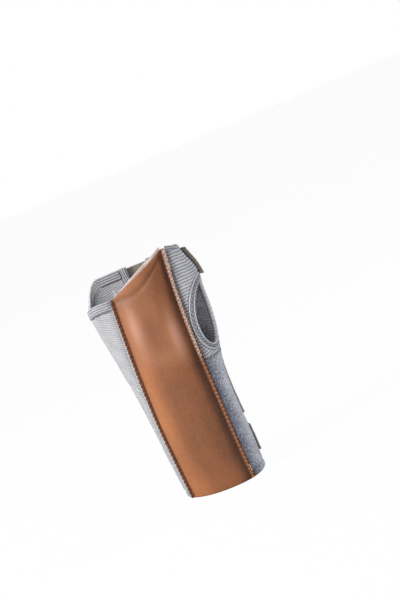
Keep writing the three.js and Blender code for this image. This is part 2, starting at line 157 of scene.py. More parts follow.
MM = 0.001
LENGTH = 203.0
HALF_PANEL = 29.0
PALM_RADIUS = (HALF_PANEL**2 + 10.0**2) / 20.0
BOW_RADIUS = 700.0
BOW_HEIGHT = 100.0
WEB_FOOT = 107.0
HAND_SWAY = 4.5
MIDDLE = (-0.870, -30.116)  # where the splint's own centre line lies in its box
WELT = 2.8
STITCH = 3.7  # from one edge stitch to the next


def bowed(x, y, z):
    x, y, z = np.broadcast_arrays(x, y, z)
    deep = BOW_RADIUS - np.sqrt((BOW_RADIUS - y) ** 2 - (z - BOW_HEIGHT) ** 2)
    return np.stack([x + MIDDLE[0], deep + MIDDLE[1], z], -1) * MM


def ease(x, low, high):
    t = np.clip((x - low) / (high - low), 0, 1)
    return t * t * (3 - 2 * t)


def seam_x(side, z):
    above = np.maximum(0, z - WEB_FOOT) / (LENGTH - WEB_FOOT)
    lean = 4.5 * ease(z, 0.25 * LENGTH, 0.84 * LENGTH) if side < 0 else 3.5 - 1.5 * ease(z, 0, WEB_FOOT)
    return side * (HALF_PANEL - lean) + HAND_SWAY * above**2


def palm(turn, depth, z):
    radius = PALM_RADIUS - depth
    return bowed(radius * np.sin(turn), PALM_RADIUS - radius * np.cos(turn), z)


def panel_top(u):
    return LENGTH - (24 + (2 - 24) * u)


def lines(length, step, edge):
    """Distances across a cloth, close together where its edges round over."""
    corner = edge * (1 - np.cos(np.linspace(0, math.pi / 2, 6)))
    inner = np.linspace(edge, length - edge, max(2, int((length - 2 * edge) / step)))[1:-1]
    return np.concatenate([corner, inner, length - corner[::-1]])


def rounded(distance, length, edge):
    """A cloth's thickness near its edges, as a share of its thickness inside."""
    near = np.clip(np.minimum(distance, length - distance) / edge, 0, 1)
    return np.sqrt(1 - (1 - near) ** 2)


def grain(x, y, seed, size):
    """Smooth random unevenness from -1 to 1, with bumps about size across."""
    table = np.random.RandomState(seed).uniform(-1, 1, (64, 64))
    a = np.asarray(x) / size
    b = np.asarray(y) / size
    i = np.floor(a).astype(int)
    j = np.floor(b).astype(int)
    fa = (a - i) ** 2 * (3 - 2 * (a - i))
    fb = (b - j) ** 2 * (3 - 2 * (b - j))
    low = table[i % 64, j % 64] * (1 - fa) + table[(i + 1) % 64, j % 64] * fa
    high = table[i % 64, (j + 1) % 64] * (1 - fa) + table[(i + 1) % 64, (j + 1) % 64] * fa
    return low * (1 - fb) + high * fb


def make_mesh(name, points, faces, coords, paint):
    mesh = bpy.data.meshes.new(name)
    mesh.from_pydata(points.reshape(-1, 3).tolist(), [], faces)
    layer = mesh.uv_layers.new(name="cloth")
    index = np.zeros(len(mesh.loops), int)
    mesh.loops.foreach_get("vertex_index", index)
    layer.data.foreach_set("uv", coords.reshape(-1, 2)[index].astype(np.float32).ravel())
    mesh.polygons.foreach_set("use_smooth", [True] * len(mesh.polygons))
    mesh.materials.append(paint)
    obj = bpy.data.objects.new(name, mesh)
    bpy.context.collection.objects.link(obj)
    return obj


def shell(name, outer, inner, coords, paint, loop=False):
    """A closed cloth between an outer and an inner grid of points that meet at its edges."""
    rows, columns = outer.shape[:2]
    wide = columns if loop else columns - 1
    j, i = np.meshgrid(np.arange(rows - 1), np.arange(wide), indexing="ij")
    a = (j * columns + i).ravel()
    b = (j * columns + (i + 1) % columns).ravel()
    c = ((j + 1) * columns + (i + 1) % columns).ravel()
    d = ((j + 1) * columns + i).ravel()
    front = np.stack([a, b, c, d], 1)
    behind = np.stack([a, d, c, b], 1) + rows * columns
    points = np.concatenate([outer.reshape(-1, 3), inner.reshape(-1, 3)])
    twice = np.concatenate([coords.reshape(-1, 2)] * 2)
    faces = np.concatenate([front, behind]).tolist()
    obj = make_mesh(name, points, faces, twice, paint)
    work = bmesh.new()
    work.from_mesh(obj.data)
    bmesh.ops.remove_doubles(work, verts=work.verts, dist=2e-7)
    bmesh.ops.recalc_face_normals(work, faces=work.faces)
    work.to_mesh(obj.data)
    work.free()
    return obj


def look_up(obj, outer, layers):
    """Gives each point of a cloth the value its nearest grid point has in each layer."""
    grid = outer.reshape(-1, 3)
    tree_of = KDTree(len(grid))
    for k, point in enumerate(grid):
        tree_of.insert(point, k)
    tree_of.balance()
    nearest = [tree_of.find(v.co)[1] for v in obj.data.vertices]
    for name, values in layers.items():
        layer = obj.data.attributes.new(name, "FLOAT", "POINT")
        layer.data.foreach_set("value", np.clip(values, 0, 1).ravel()[nearest].astype(np.float32))


leather, tree = blank("leather")
where = node(tree, "ShaderNodeTexCoord").outputs["Object"]
mottle = node(tree, "ShaderNodeTexNoise", Vector=where, Scale=28.0, Detail=5.0, Roughness=0.6)
streak = node(tree, "ShaderNodeMapping", Vector=where, Scale=(60.0, 60.0, 9.0))
streaks = node(tree, "ShaderNodeTexNoise", Vector=streak.outputs[0], Scale=1.0, Detail=4.0)
mottled = calc(tree, "MULTIPLY", mottle.outputs["Fac"], 0.55)
tone = calc(tree, "MULTIPLY_ADD", streaks.outputs["Fac"], 0.45, mottled)
# painted light and shade: the panel's attribute shifts the hide's tone lighter or darker
painted_light_shade = node(tree, "ShaderNodeAttribute", {"attribute_name": "painted_light_shade"}).outputs["Fac"]
painted_highlight = node(tree, "ShaderNodeAttribute", {"attribute_name": "painted_highlight"}).outputs["Fac"]
tone = calc(tree, "MULTIPLY_ADD", calc(tree, "SUBTRACT", tone, 0.5), 0.8, painted_light_shade)
speck = node(tree, "ShaderNodeTexNoise", Vector=where, Scale=520.0, Detail=3.0, Roughness=0.7)
tone = calc(tree, "MULTIPLY_ADD", calc(tree, "SUBTRACT", speck.outputs["Fac"], 0.5), 0.35, tone)
hide = node(tree, "ShaderNodeValToRGB", Fac=tone)
hide.color_ramp.elements[0].position = 0.0
hide.color_ramp.elements[0].color = (0.085, 0.028, 0.012, 1)
hide.color_ramp.elements[1].position = 1.0
hide.color_ramp.elements[1].color = (0.53, 0.20, 0.066, 1)
middle = hide.color_ramp.elements.new(0.5)
middle.color = (0.30, 0.108, 0.040, 1)
# painted highlight: the heels and the band across the wrist are mixed toward a pale pinkish tan
highlighted_hide = node(
    tree, "ShaderNodeMix", {"data_type": "RGBA"}, i0=painted_highlight, i6=hide.outputs[0], i7=(0.47, 0.235, 0.165, 1)
)
pores = node(tree, "ShaderNodeTexVoronoi", Vector=where, Scale=1500.0)
fine = node(tree, "ShaderNodeTexNoise", Vector=where, Scale=700.0, Detail=6.0, Roughness=0.65)
folds = node(tree, "ShaderNodeTexNoise", Vector=streak.outputs[0], Scale=3.0, Detail=3.0)
height = calc(tree, "MULTIPLY_ADD", pores.outputs["Distance"], 0.35, fine.outputs["Fac"])
height = calc(tree, "MULTIPLY_ADD", folds.outputs["Fac"], 1.2, height)
bump = node(tree, "ShaderNodeBump", Strength=0.16, Distance=0.0006, Height=height)
dull = node(tree, "ShaderNodeMapRange", Value=mottle.outputs["Fac"], i1=0.3, i2=0.7, i3=0.38, i4=0.54)
skin = node(
    tree,
    "ShaderNodeBsdfPrincipled",
    Base_Color=highlighted_hide.outputs[2],
    Roughness=dull.outputs[0],
    Normal=bump.outputs[0],
    Coat_Weight=0.05,
    Coat_Roughness=0.4,
)
skin.inputs["Specular IOR Level"].default_value = 0.34
close(tree, skin.outputs[0])


def leather_panel():
    rise = lines(LENGTH, 0.75, 0.7) / LENGTH
    across = lines(2 * HALF_PANEL, 0.5, 0.7) / (2 * HALF_PANEL)
    u, v = np.meshgrid(across, rise)
    z = v * panel_top(u)
    margin = 1.15 / PALM_RADIUS
    left = np.arcsin(seam_x(-1, z) / PALM_RADIUS) + margin
    right_turn = np.arcsin(seam_x(1, z) / PALM_RADIUS) - margin
    turn = left + (right_turn - left) * u
    wide = (right_turn - left) * PALM_RADIUS
    beside = np.minimum(u, 1 - u) * wide
    below = panel_top(u) - z
    # The two heels of the palm push it out, the hollow between them and the stay hold it flat.
    little_heel = np.exp(-(((u - 0.24) / 0.11) ** 2) - ((z - 151) / 17) ** 2)
    thumb_heel = np.exp(-(((u - 0.79) / 0.09) ** 2) - ((z - 136) / 18) ** 2)
    hollow = np.exp(-(((u - 0.51) / 0.11) ** 2) - ((z - 143) / 24) ** 2)
    wrist = np.exp(-(((z - 122 + 10 * (u - 0.5)) / 7) ** 2)) * ease(u, 0.08, 0.3) * ease(1 - u, 0.1, 0.3)
    shin = np.exp(-(((u - 0.59 + 0.0021 * (z - 24)) / 0.2) ** 2)) * (1 - ease(z, 98, 122))
    relief = 1.1 * little_heel + 0.9 * thumb_heel - 0.9 * hollow + 0.35 * wrist - 0.3 * shin
    relief -= 0.7 * (1 - ease(u * wide, 0, 4.0)) + 1.2 * (1 - ease((1 - u) * wide, 0, 7.0))
    pinch = 0.5 + 0.5 * np.cos(2 * math.pi * z / STITCH)
    relief -= 0.42 * pinch * np.exp(-((beside / 1.7) ** 2))
    # The mouth of the pocket: the turned edge stands forward of a hollow crease below it.
    crease = 3.0 + 7.5 * np.sin(math.pi * np.clip(u * 1.02, 0, 1)) ** 1.3
    relief -= 1.0 * np.exp(-(((below - crease) / 2.2) ** 2)) * ease(u, 0.0, 0.12) * ease(1 - u, 0.0, 0.12)
    relief += 0.45 * (1 - ease(below, 0.5, crease - 1.0))
    relief += 0.16 * grain(u * 58, z, 3, 17) + 0.05 * grain(u * 58, z, 4, 6)
    thick = 0.7 * rounded(u * wide, wide, 0.7) * rounded(z, panel_top(u), 0.7)
    outer = palm(turn, 0.7 - thick - relief * (thick / 0.7), z)
    inner = palm(turn, 0.7 + thick, z)
    coords = np.stack([beside, z], -1)
    panel = shell("palm_leather", outer, inner, coords, leather)
    # Painted shade darkens it toward the thumb side, the top, the long edges, the hollow, the pocket crease
    # and the cuff edge; painted light brightens the lower little finger side, the strip under the pocket
    # mouth and the cuff end, and a painted highlight lies on the two heels.
    bright = (1 - ease(u, 0.06, 0.42)) * (1 - ease(z, 108, 130))
    shade = 0.455 + 0.15 * bright + 0.04 * wrist - 0.16 * hollow - 0.10 * shin - 0.12 * ease(z, 158, 176)
    shade -= 0.38 * ease(u, 0.79 + 0.08 * ease(z, 160, 190), 0.97) + 0.12 * (1 - ease(u * wide, 0.4, 1.6))
    shade -= 0.15 * ease(u, 0.5, 0.85) * (1 - ease(z, 105, 128)) - 0.12 * little_heel - 0.16 * thumb_heel
    shade += 0.16 * (1 - ease(below, 0.5, crease)) + 0.08 * (1 - ease(z, 2, 30))
    shade -= 0.22 * (1 - ease(z, 0.2, 1.6)) + 0.12 * np.exp(-(((below - crease) / 1.6) ** 2))
    # Painted highlight on the two heels and across the wrist.
    heel_highlight = 0.78 * little_heel**1.3 + 0.85 * thumb_heel**1.3 + 0.10 * wrist
    heel_highlight = heel_highlight + 0.10 * (1 - ease(u, 0.5, 0.9)) * ease(z, 112, 130)
    look_up(panel, outer, {"painted_light_shade": shade, "painted_highlight": heel_highlight})
    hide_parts("leather_panel")
    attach(panel, "palm_side")
    return panel


leather_panel()

# ---------------------------------------------------------------- palm lining
# Cream brushed cloth laminated to thin foam, lying against the palm and shut to the leather at the
# long seams. It stands 2 mm past the leather at the finger edge as a soft folded lip.

lining, tree = blank("lining_cloth")
where = node(tree, "ShaderNodeTexCoord").outputs["Object"]
cloud = node(tree, "ShaderNodeTexNoise", Vector=where, Scale=190.0, Detail=6.0, Roughness=0.7)
tint = node(tree, "ShaderNodeValToRGB", Fac=cloud.outputs["Fac"])
tint.color_ramp.elements[0].position = 0.3
tint.color_ramp.elements[0].color = (0.50, 0.37, 0.34, 1)
tint.color_ramp.elements[1].position = 0.72
tint.color_ramp.elements[1].color = (0.72, 0.60, 0.56, 1)
pile = node(tree, "ShaderNodeTexVoronoi", Vector=where, Scale=1300.0)
bump = node(tree, "ShaderNodeBump", Strength=0.5, Distance=0.0005, Height=pile.outputs["Distance"])
soft = node(
    tree,
    "ShaderNodeBsdfPrincipled",
    Base_Color=tint.outputs[0],
    Roughness=0.95,
    Normal=bump.outputs[0],
    Sheen_Weight=0.25,
    Sheen_Roughness=0.5,
)
close(tree, soft.outputs[0])


def palm_lining():
    rise = lines(LENGTH, 1.5, 1.3) / LENGTH
    across = lines(2 * HALF_PANEL, 0.8, 1.0) / (2 * HALF_PANEL)
    u, v = np.meshgrid(across, rise)
    top = panel_top(u) + 2.0
    z = v * top
    margin = (WELT / 2 + 0.2) / PALM_RADIUS
    left = np.arcsin(seam_x(-1, z) / PALM_RADIUS) + margin
    right_turn = np.arcsin(seam_x(1, z) / PALM_RADIUS) - margin
    turn = left + (right_turn - left) * u
    wide = (right_turn - left) * PALM_RADIUS
    closing = ease(np.abs(turn), math.asin(14.3 / PALM_RADIUS), math.asin(21.8 / PALM_RADIUS))
    pocket = 1.45 + 4.1 * (1 - closing) + 0.3 * closing
    half = 1.3 * rounded(u * wide, wide, 1.0) * rounded(z, top, 1.3)
    tuft = 0.1 * grain(u * 58, z, 9, 2.2)
    outer = palm(turn, pocket + 1.3 - half, z)
    inner = palm(turn, pocket + 1.3 + half + tuft, z)
    coords = np.stack([u * wide, z], -1)
    cloth = shell("palm_lining", outer, inner, coords, lining)
    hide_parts("panel_lining")
    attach(cloth, "palm_side")


palm_lining()

# ---------------------------------------------------------------- long edge seams
# Leather, lining and knit are brought together and overlocked into a raised ridge along each side.
# Little finger side: turned dark leather under brown whip stitches. Thumb side: raw beige edge.

ridge, tree = blank("seam_ridge")
coords = node(tree, "ShaderNodeUVMap", {"uv_map": "cloth"}).outputs[0]
apart = node(tree, "ShaderNodeSeparateXYZ", Vector=coords)
fibre = node(tree, "ShaderNodeTexNoise", Vector=coords, Scale=1.8, Detail=4.0)
dark = node(tree, "ShaderNodeValToRGB", Fac=fibre.outputs["Fac"])
dark.color_ramp.elements[0].color = (0.10, 0.036, 0.016, 1)
dark.color_ramp.elements[1].color = (0.33, 0.125, 0.052, 1)
raw = node(tree, "ShaderNodeValToRGB", Fac=fibre.outputs["Fac"])
raw.color_ramp.elements[0].color = (0.14, 0.07, 0.05, 1)
raw.color_ramp.elements[1].color = (0.50, 0.32, 0.25, 1)
pale = node(tree, "ShaderNodeMapRange", Value=apart.outputs[1], i1=104.0, i2=128.0, i3=0.0, i4=1.0)
edge = node(
    tree, "ShaderNodeMix", {"data_type": "RGBA"}, i0=pale.outputs[0], i6=dark.outputs[0], i7=raw.outputs[0]
)
bump = node(tree, "ShaderNodeBump", Strength=0.5, Distance=0.0004, Height=fibre.outputs["Fac"])
side_paint = node(
    tree, "ShaderNodeBsdfPrincipled", Base_Color=edge.outputs[2], Roughness=0.8, Normal=bump.outputs[0]
)
close(tree, side_paint.outputs[0])


def thread_paint(name, low, high):
    made, tree = blank(name)
    where = node(tree, "ShaderNodeTexCoord").outputs["Object"]
    ply = node(tree, "ShaderNodeTexNoise", Vector=where, Scale=900.0, Detail=3.0)
    tint = node(tree, "ShaderNodeValToRGB", Fac=ply.outputs["Fac"])
    tint.color_ramp.elements[0].position = 0.35
    tint.color_ramp.elements[0].color = (*low, 1)
    tint.color_ramp.elements[1].position = 0.65
    tint.color_ramp.elements[1].color = (*high, 1)
    bump = node(tree, "ShaderNodeBump", Strength=0.6, Distance=0.0002, Height=ply.outputs["Fac"])
    spun = node(
        tree, "ShaderNodeBsdfPrincipled", Base_Color=tint.outputs[0], Roughness=0.65, Normal=bump.outputs[0]
    )
    close(tree, spun.outputs[0])
    return made


brown_thread = thread_paint("brown_thread", (0.030, 0.011, 0.007), (0.085, 0.032, 0.018))
tan_thread = thread_paint("tan_thread", (0.27, 0.12, 0.06), (0.50, 0.27, 0.16))
beige_thread = thread_paint("beige_thread", (0.38, 0.25, 0.20), (0.78, 0.60, 0.51))
cream_thread = thread_paint("cream_thread", (0.52, 0.42, 0.40), (0.78, 0.69, 0.67))
grey_thread = thread_paint("grey_thread", (0.13, 0.13, 0.15), (0.24, 0.24, 0.27))


def threads(name, runs, radius, paint):
    """Short lengths of sewing thread, each a round tube through its own points."""
    sides = 6
    points = []
    faces = []
    for run in runs:
        run = np.asarray(run)
        ahead = np.gradient(run, axis=0)
        ahead /= np.linalg.norm(ahead, axis=1, keepdims=True) + 1e-12
        across = np.cross(ahead, (0.3, 0.2, 0.93))
        across /= np.linalg.norm(across, axis=1, keepdims=True) + 1e-12
        above = np.cross(ahead, across)
        start = sum(len(p) for p in points)
        slim = radius * MM * np.sqrt(np.clip(1 - np.linspace(-0.97, 0.97, len(run)) ** 4, 0.05, 1))
        for k in range(len(run)):
            a = np.linspace(0, 2 * math.pi, sides, endpoint=False)[:, None]
            points.append(run[k] + slim[k] * (np.cos(a) * across[k] + np.sin(a) * above[k]))
        for k in range(len(run) - 1):
            for s in range(sides):
                t = (s + 1) % sides
                low = start + k * sides
                faces.append([low + s, low + t, low + sides + t, low + sides + s])
        faces.append([start + s for s in range(sides)][::-1])
        faces.append([start + (len(run) - 1) * sides + s for s in range(sides)])
    points = np.concatenate(points)
    return make_mesh(name, points, faces, np.zeros((len(points), 2)), paint)


def beside_seam(side, a, proud, z):
    """A point a millimetres outside the seam's middle line, standing proud of the leather."""
    turn = np.arcsin(seam_x(side, z) / PALM_RADIUS) + side * a / PALM_RADIUS
    return palm(turn, -proud, z)


def seam(side, name, label):
    top = panel_top(1 if side > 0 else 0)
    z = np.arange(0.0, top + 0.01, 0.45)
    z[-1] = top
    around = np.linspace(0, 2 * math.pi, 18, endpoint=False)
    zz, phi = np.meshgrid(z, around, indexing="ij")
    tight = np.cos(2 * math.pi * (zz / STITCH + 0.25))
    ends = rounded(zz, top, 1.0)
    root = 1.12 + 0.42 * ease(-np.sin(phi), -0.3, 0.3)
    a = root * np.cos(phi) * (1 - 0.12 * tight) * ends
    b = -0.9 + (2.15 - 0.26 * tight) * np.sin(phi) * ends + 0.12 * grain(zz, phi * 2, 21, 1.4)
    points = beside_seam(side, a, b, zz)
    rows, columns = zz.shape
    faces = []
    for j in range(rows - 1):
        for i in range(columns):
            k = (i + 1) % columns
            faces.append([j * columns + i, j * columns + k, (j + 1) * columns + k, (j + 1) * columns + i])
    faces.append(list(range(columns))[::-1])
    faces.append([(rows - 1) * columns + i for i in range(columns)])
    tall = zz if side > 0 else zz * 0
    band = make_mesh(label, points, faces, np.stack([phi * 2, tall], -1), ridge)
    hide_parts(name)
    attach(band, "palm_side")
    return top


def whip(side, start, stop, pitch, lean, reach, proud):
    """Stitches that climb out of the leather, cross the ridge and dive in beyond it."""
    runs = []
    for k, z in enumerate(np.arange(start, stop, pitch)):
        t = np.linspace(0, 1, 9)
        a = -reach + 2 * reach * t * 0.92
        b = -0.3 + (proud + 0.3) * np.sin(math.pi * t) ** 0.6
        runs.append(beside_seam(side, a, b, z + lean * (t - 0.5) + 0.15 * math.sin(k * 2.3)))
    return runs


ulnar_top = seam(-1, "ulnar_edge_seam", "ulnar_seam_ridge")
thumb_top = seam(1, "thumb_side_edge_seam", "thumb_seam_ridge")
whips = threads(
    "ulnar_whip_stitches", whip(-1, 1.5, ulnar_top - 1, STITCH, -1.7, 1.55, 1.35), 0.45, brown_thread
)
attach(whips, "palm_side")
low = threads("thumb_low_stitches", whip(1, 1.5, 124, STITCH, -1.8, 1.15, 1.5), 0.3, tan_thread)
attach(low, "palm_side")
zig = whip(1, 112, thumb_top - 1, 3.1, 1.9, 1.3, 1.75) + whip(1, 113.5, thumb_top - 1, 3.1, -1.9, 1.2, 1.6)
zigzag = threads("thumb_zigzag_stitches", zig, 0.38, beige_thread)
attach(zigzag, "palm_side")
t = np.linspace(0, 1, 260)
cord_line = beside_seam(-1, 1.7 + 0 * t, 0.35 + 0 * t, 1 + (ulnar_top - 2) * t)
lining_edge = threads("ulnar_lining_edge", [cord_line], 0.45, cream_thread)
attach(lining_edge, "palm_side")

# ---------------------------------------------------------------- little finger side of the sleeve
# Heather grey ribbed elastic knit, cut in two panels joined across below the wrist. Its finger edge
# is a folded band with rows of chain stitch, its back edge is bound with tape over a spring stay.

FORM = np.array(
    [
        [0, 3.5, 6.5, 26.5, 49],
        [22, 4.5, 7, 27, 50],
        [LENGTH - 113, 6.5, 9, 26, 47],
        [LENGTH - 62, 18, 15, 25, 43],
        [LENGTH - 30, 18, 19, 24, 40],
        [LENGTH - 12, 12.5, 19.5, 23.5, 39],
        [LENGTH, 8, 19.5, 23, 38],
    ]
)  # height, then past the thumb side seam, past the other seam, widest line and depth
OVAL = 2 / 2.4
KNIT = 2.0


def form(column, z):
    rise = FORM[:, 0]
    value = FORM[:, column]
    slope = np.empty(len(FORM))
    slope[1:-1] = (value[2:] - value[:-2]) / (rise[2:] - rise[:-2])
    slope[0] = (value[1] - value[0]) / (rise[1] - rise[0])
    slope[-1] = (value[-1] - value[-2]) / (rise[-1] - rise[-2])
    z = np.clip(z, rise[0], rise[-1])
    i = np.clip(np.searchsorted(rise, z) - 1, 0, len(FORM) - 2)
    run = rise[i + 1] - rise[i]
    t = (z - rise[i]) / run
    return (
        (2 * t**3 - 3 * t**2 + 1) * value[i]
        + (t**3 - 2 * t**2 + t) * run * slope[i]
        + (3 * t**2 - 2 * t**3) * value[i + 1]
        + (t**3 - t**2) * run * slope[i + 1]
    )


def power(value, exponent):
    return np.sign(value) * np.abs(value) ** exponent


def section(side, z):
    half = HALF_PANEL + form(1 if side > 0 else 2, z)
    middle = form(3, z)
    start_x = np.abs(seam_x(side, z))
    start_y = PALM_RADIUS - np.sqrt(PALM_RADIUS**2 - start_x**2) + KNIT / 2
    start = np.arcsin((start_x / half) ** (1 / OVAL))
    front = (middle - start_y) / np.cos(start) ** OVAL
    return half, middle, start, front, form(4, z) - middle


def sleeve(side, angle, offset, z):
    half, middle, _, front, behind = section(side, z)
    deep = np.where(angle < math.pi / 2, front, behind)
    sin = np.sin(angle)
    cos = np.cos(angle)
    nx = deep * power(sin, 2 - OVAL)
    ny = -half * power(cos, 2 - OVAL)
    size = np.hypot(nx, ny)
    x = half * power(sin, OVAL) + offset * nx / size
    y = middle - deep * power(cos, OVAL) + offset * ny / size
    return bowed(side * x, y, z)


def back_angle(side, back_x, z):
    return math.pi - np.arcsin((back_x / section(side, z)[0]) ** (1 / OVAL))


CLOTH_STEP = 0.5


def cloth_table(side):
    """For each height, the angle at every half millimetre of cloth away from the seam."""
    rows = []
    for z in np.arange(0, LENGTH + 3):
        angle = np.linspace(section(side, float(z))[2], 3.05, 900)
        at = sleeve(side, angle, 0.0, float(z)) / MM
        length = np.concatenate([[0], np.cumsum(np.linalg.norm(np.diff(at, axis=0), axis=1))])
        rows.append(np.interp(np.arange(0, 130, CLOTH_STEP), length, angle))
    return np.array(rows)


TABLES = {side: cloth_table(side) for side in (-1, 1)}


def angle_at(side, cloth, z):
    table = TABLES[side]
    cloth, z = np.broadcast_arrays(cloth, z)
    a = np.clip(cloth / CLOTH_STEP, 0, table.shape[1] - 1.001)
    b = np.clip(z, 0, table.shape[0] - 1.001)
    i = a.astype(int)
    j = b.astype(int)
    a = a - i
    b = b - j
    low = table[j, i] * (1 - a) + table[j, i + 1] * a
    high = table[j + 1, i] * (1 - a) + table[j + 1, i + 1] * a
    return low * (1 - b) + high * b


def cloth_to(side, angle, z):
    """How much cloth lies between the seam and an angle."""
    table = TABLES[side]
    places = np.arange(0, 130, CLOTH_STEP)
    levels = [table[int(min(z_k, LENGTH))] for z_k in z]
    out = [np.interp(angle_k, level, places) for angle_k, level in zip(angle, levels)]
    return np.array(out)


def finger_edge(side, angle):
    seam_z = LENGTH - (0 if side > 0 else 24)
    flank = LENGTH - (4 if side > 0 else 28)
    near = seam_z + (flank - seam_z) * ease(angle, 0.7, math.pi / 2)
    far = flank + (LENGTH - 8 - flank) * ease(angle, math.pi / 2, 2.4)
    return np.where(angle < math.pi / 2, near, far)


def knit_paint(name, low, high, rib, wale, contrast, fleck, shaded=0.5):
    """Ribbed elastic knit. The cloth's own coordinates are millimetres along and across the ribs."""
    made, tree = blank(name)
    coords = node(tree, "ShaderNodeUVMap", {"uv_map": "cloth"}).outputs[0]
    apart = node(tree, "ShaderNodeSeparateXYZ", Vector=coords)
    along = apart.outputs[0]
    across = apart.outputs[1]
    sway = node(tree, "ShaderNodeTexNoise", Vector=coords, Scale=0.22, Detail=2.0)
    drift = calc(tree, "MULTIPLY_ADD", sway.outputs["Fac"], 0.5, across)
    ribs = calc(tree, "SINE", calc(tree, "MULTIPLY", drift, 2 * math.pi / rib))
    v = calc(tree, "ABSOLUTE", ribs)
    loops = calc(
        tree, "SINE", calc(tree, "MULTIPLY", calc(tree, "MULTIPLY_ADD", v, 0.5, along), 2 * math.pi / wale)
    )
    stretch = node(tree, "ShaderNodeMapping", Vector=coords, Scale=(0.55, 1.5, 1.0))
    heather = node(
        tree, "ShaderNodeTexNoise", Vector=stretch.outputs[0], Scale=fleck, Detail=5.0, Roughness=0.72
    )
    cloud = node(tree, "ShaderNodeTexNoise", Vector=coords, Scale=0.09, Detail=3.0)
    tone = calc(tree, "MULTIPLY_ADD", ribs, 0.10 * contrast, heather.outputs["Fac"])
    tone = calc(tree, "MULTIPLY_ADD", loops, 0.045 * contrast, tone)
    tone = calc(tree, "MULTIPLY_ADD", calc(tree, "SUBTRACT", cloud.outputs["Fac"], 0.5), 0.22, tone)
    yarn = node(tree, "ShaderNodeValToRGB", Fac=tone)
    yarn.color_ramp.elements[0].position = 0.30
    yarn.color_ramp.elements[0].color = (*low, 1)
    yarn.color_ramp.elements[1].position = 0.68
    yarn.color_ramp.elements[1].color = (*high, 1)
    # painted shade: the knit darkens toward the seam it is sewn to, as deep as the shaded argument
    near_seam_shade = node(tree, "ShaderNodeMapRange", Value=along, i1=1.6, i2=6.5, i3=shaded, i4=0.0)
    shaded_yarn = node(
        tree, "ShaderNodeMix", {"data_type": "RGBA"}, i0=near_seam_shade.outputs[0], i6=yarn.outputs[0],
        i7=(0.05, 0.05, 0.06, 1)
    )
    height = calc(tree, "MULTIPLY_ADD", ribs, 0.5, calc(tree, "MULTIPLY", loops, 0.35))
    height = calc(tree, "MULTIPLY_ADD", heather.outputs["Fac"], 0.9, height)
    bump = node(tree, "ShaderNodeBump", Strength=0.75, Distance=0.0004, Height=height)
    wool = node(
        tree,
        "ShaderNodeBsdfPrincipled",
        Base_Color=shaded_yarn.outputs[2],
        Roughness=0.92,
        Normal=bump.outputs[0],
        Sheen_Weight=0.3,
        Sheen_Roughness=0.55,
    )
    wool.inputs["Specular IOR Level"].default_value = 0.2
    close(tree, wool.outputs[0])
    return made


RIB = 1.7
knit = knit_paint("rib_knit", (0.25, 0.255, 0.285), (0.70, 0.705, 0.735), RIB, 1.0, 1.3, 1.7, 0.25)
web_paint = knit_paint("web_rib_knit", (0.22, 0.225, 0.26), (0.72, 0.725, 0.765), 2.4, 1.15, 1.7, 1.7, 0.6)
hem_knit = knit_paint("hem_knit", (0.15, 0.155, 0.18), (0.55, 0.56, 0.59), 2.0, 1.3, 1.8, 1.6, 0.2)
binding_paint = knit_paint("edge_binding", (0.15, 0.155, 0.185), (0.52, 0.53, 0.57), 1.8, 1.5, 1.6, 1.7, 0.0)


def band(side, label, cad, paint, cloth_span, z_span, offset, edge, relief, phase, step=(0.7, 0.7)):
    """A band of the sleeve. Spans are functions; offset is the faces' distance from mid-cloth."""
    wide_mm = cloth_span(np.array([100.0]))[1][0] - cloth_span(np.array([100.0]))[0][0]
    probe = z_span(np.array([1.5]))
    high_mm = float(probe[1][0] - probe[0][0])
    across = lines(wide_mm, step[0], edge) / wide_mm
    rise = lines(high_mm, step[1], edge) / high_mm
    u, v = np.meshgrid(across, rise)
    z = np.full(u.shape, 100.0)
    for _ in range(3):
        s0, s1 = cloth_span(z.ravel())
        s0 = s0.reshape(z.shape)
        s1 = s1.reshape(z.shape)
        s = s0 + (s1 - s0) * u
        angle = angle_at(side, s, z)
        z0, z1 = z_span(angle)
        z = z0 + (z1 - z0) * v
    angle = angle_at(side, s, z)
    shape = rounded(u * (s1 - s0), s1 - s0, edge) * rounded(v * (z1 - z0), z1 - z0, edge)
    middle = (offset[0] + offset[1]) / 2
    half = (offset[1] - offset[0]) / 2
    lift = relief(s, z, z1) * shape
    outer = sleeve(side, angle, middle + half * shape + lift, z)
    inner = sleeve(side, angle, middle - half * shape + 0.3 * lift, z)
    obj = shell(label, outer, inner, np.stack([s, phase(s, z, z1)], -1), paint)
    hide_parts(cad)
    area = float(np.mean(s1 - s0) * np.mean(z1 - z0)) * MM * MM
    wide = float(np.max(s1 - s0)) * MM
    if offset[1] - offset[0] > 3:  # folded over, so cut wider than it shows
        narrow = min(float(np.mean(s1 - s0)), float(np.mean(z1 - z0))) * MM
        flat = (area / narrow, max(0.01, 1.35 * narrow + 0.003))
        return obj, flat, flat[0] * flat[1]
    flat = (wide, float(np.max(z1) - np.min(z0)) * MM)
    return obj, flat, max(0.3 * flat[0] * flat[1], min(area, flat[0] * flat[1]))


def tape_cloth(side, extra, z):
    return cloth_to(side, back_angle(side, 9 + 6 + extra, z), z)


def on_flap(obj):
    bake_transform(obj)


def ulnar_phase(s, z, top):
    slant = 0.12 + 0.40 * ease(175 - z, 0, 45)
    return z - slant * s * ease(z, 100, 106) - 0.25 * s * (1 - ease(z, 100, 106))


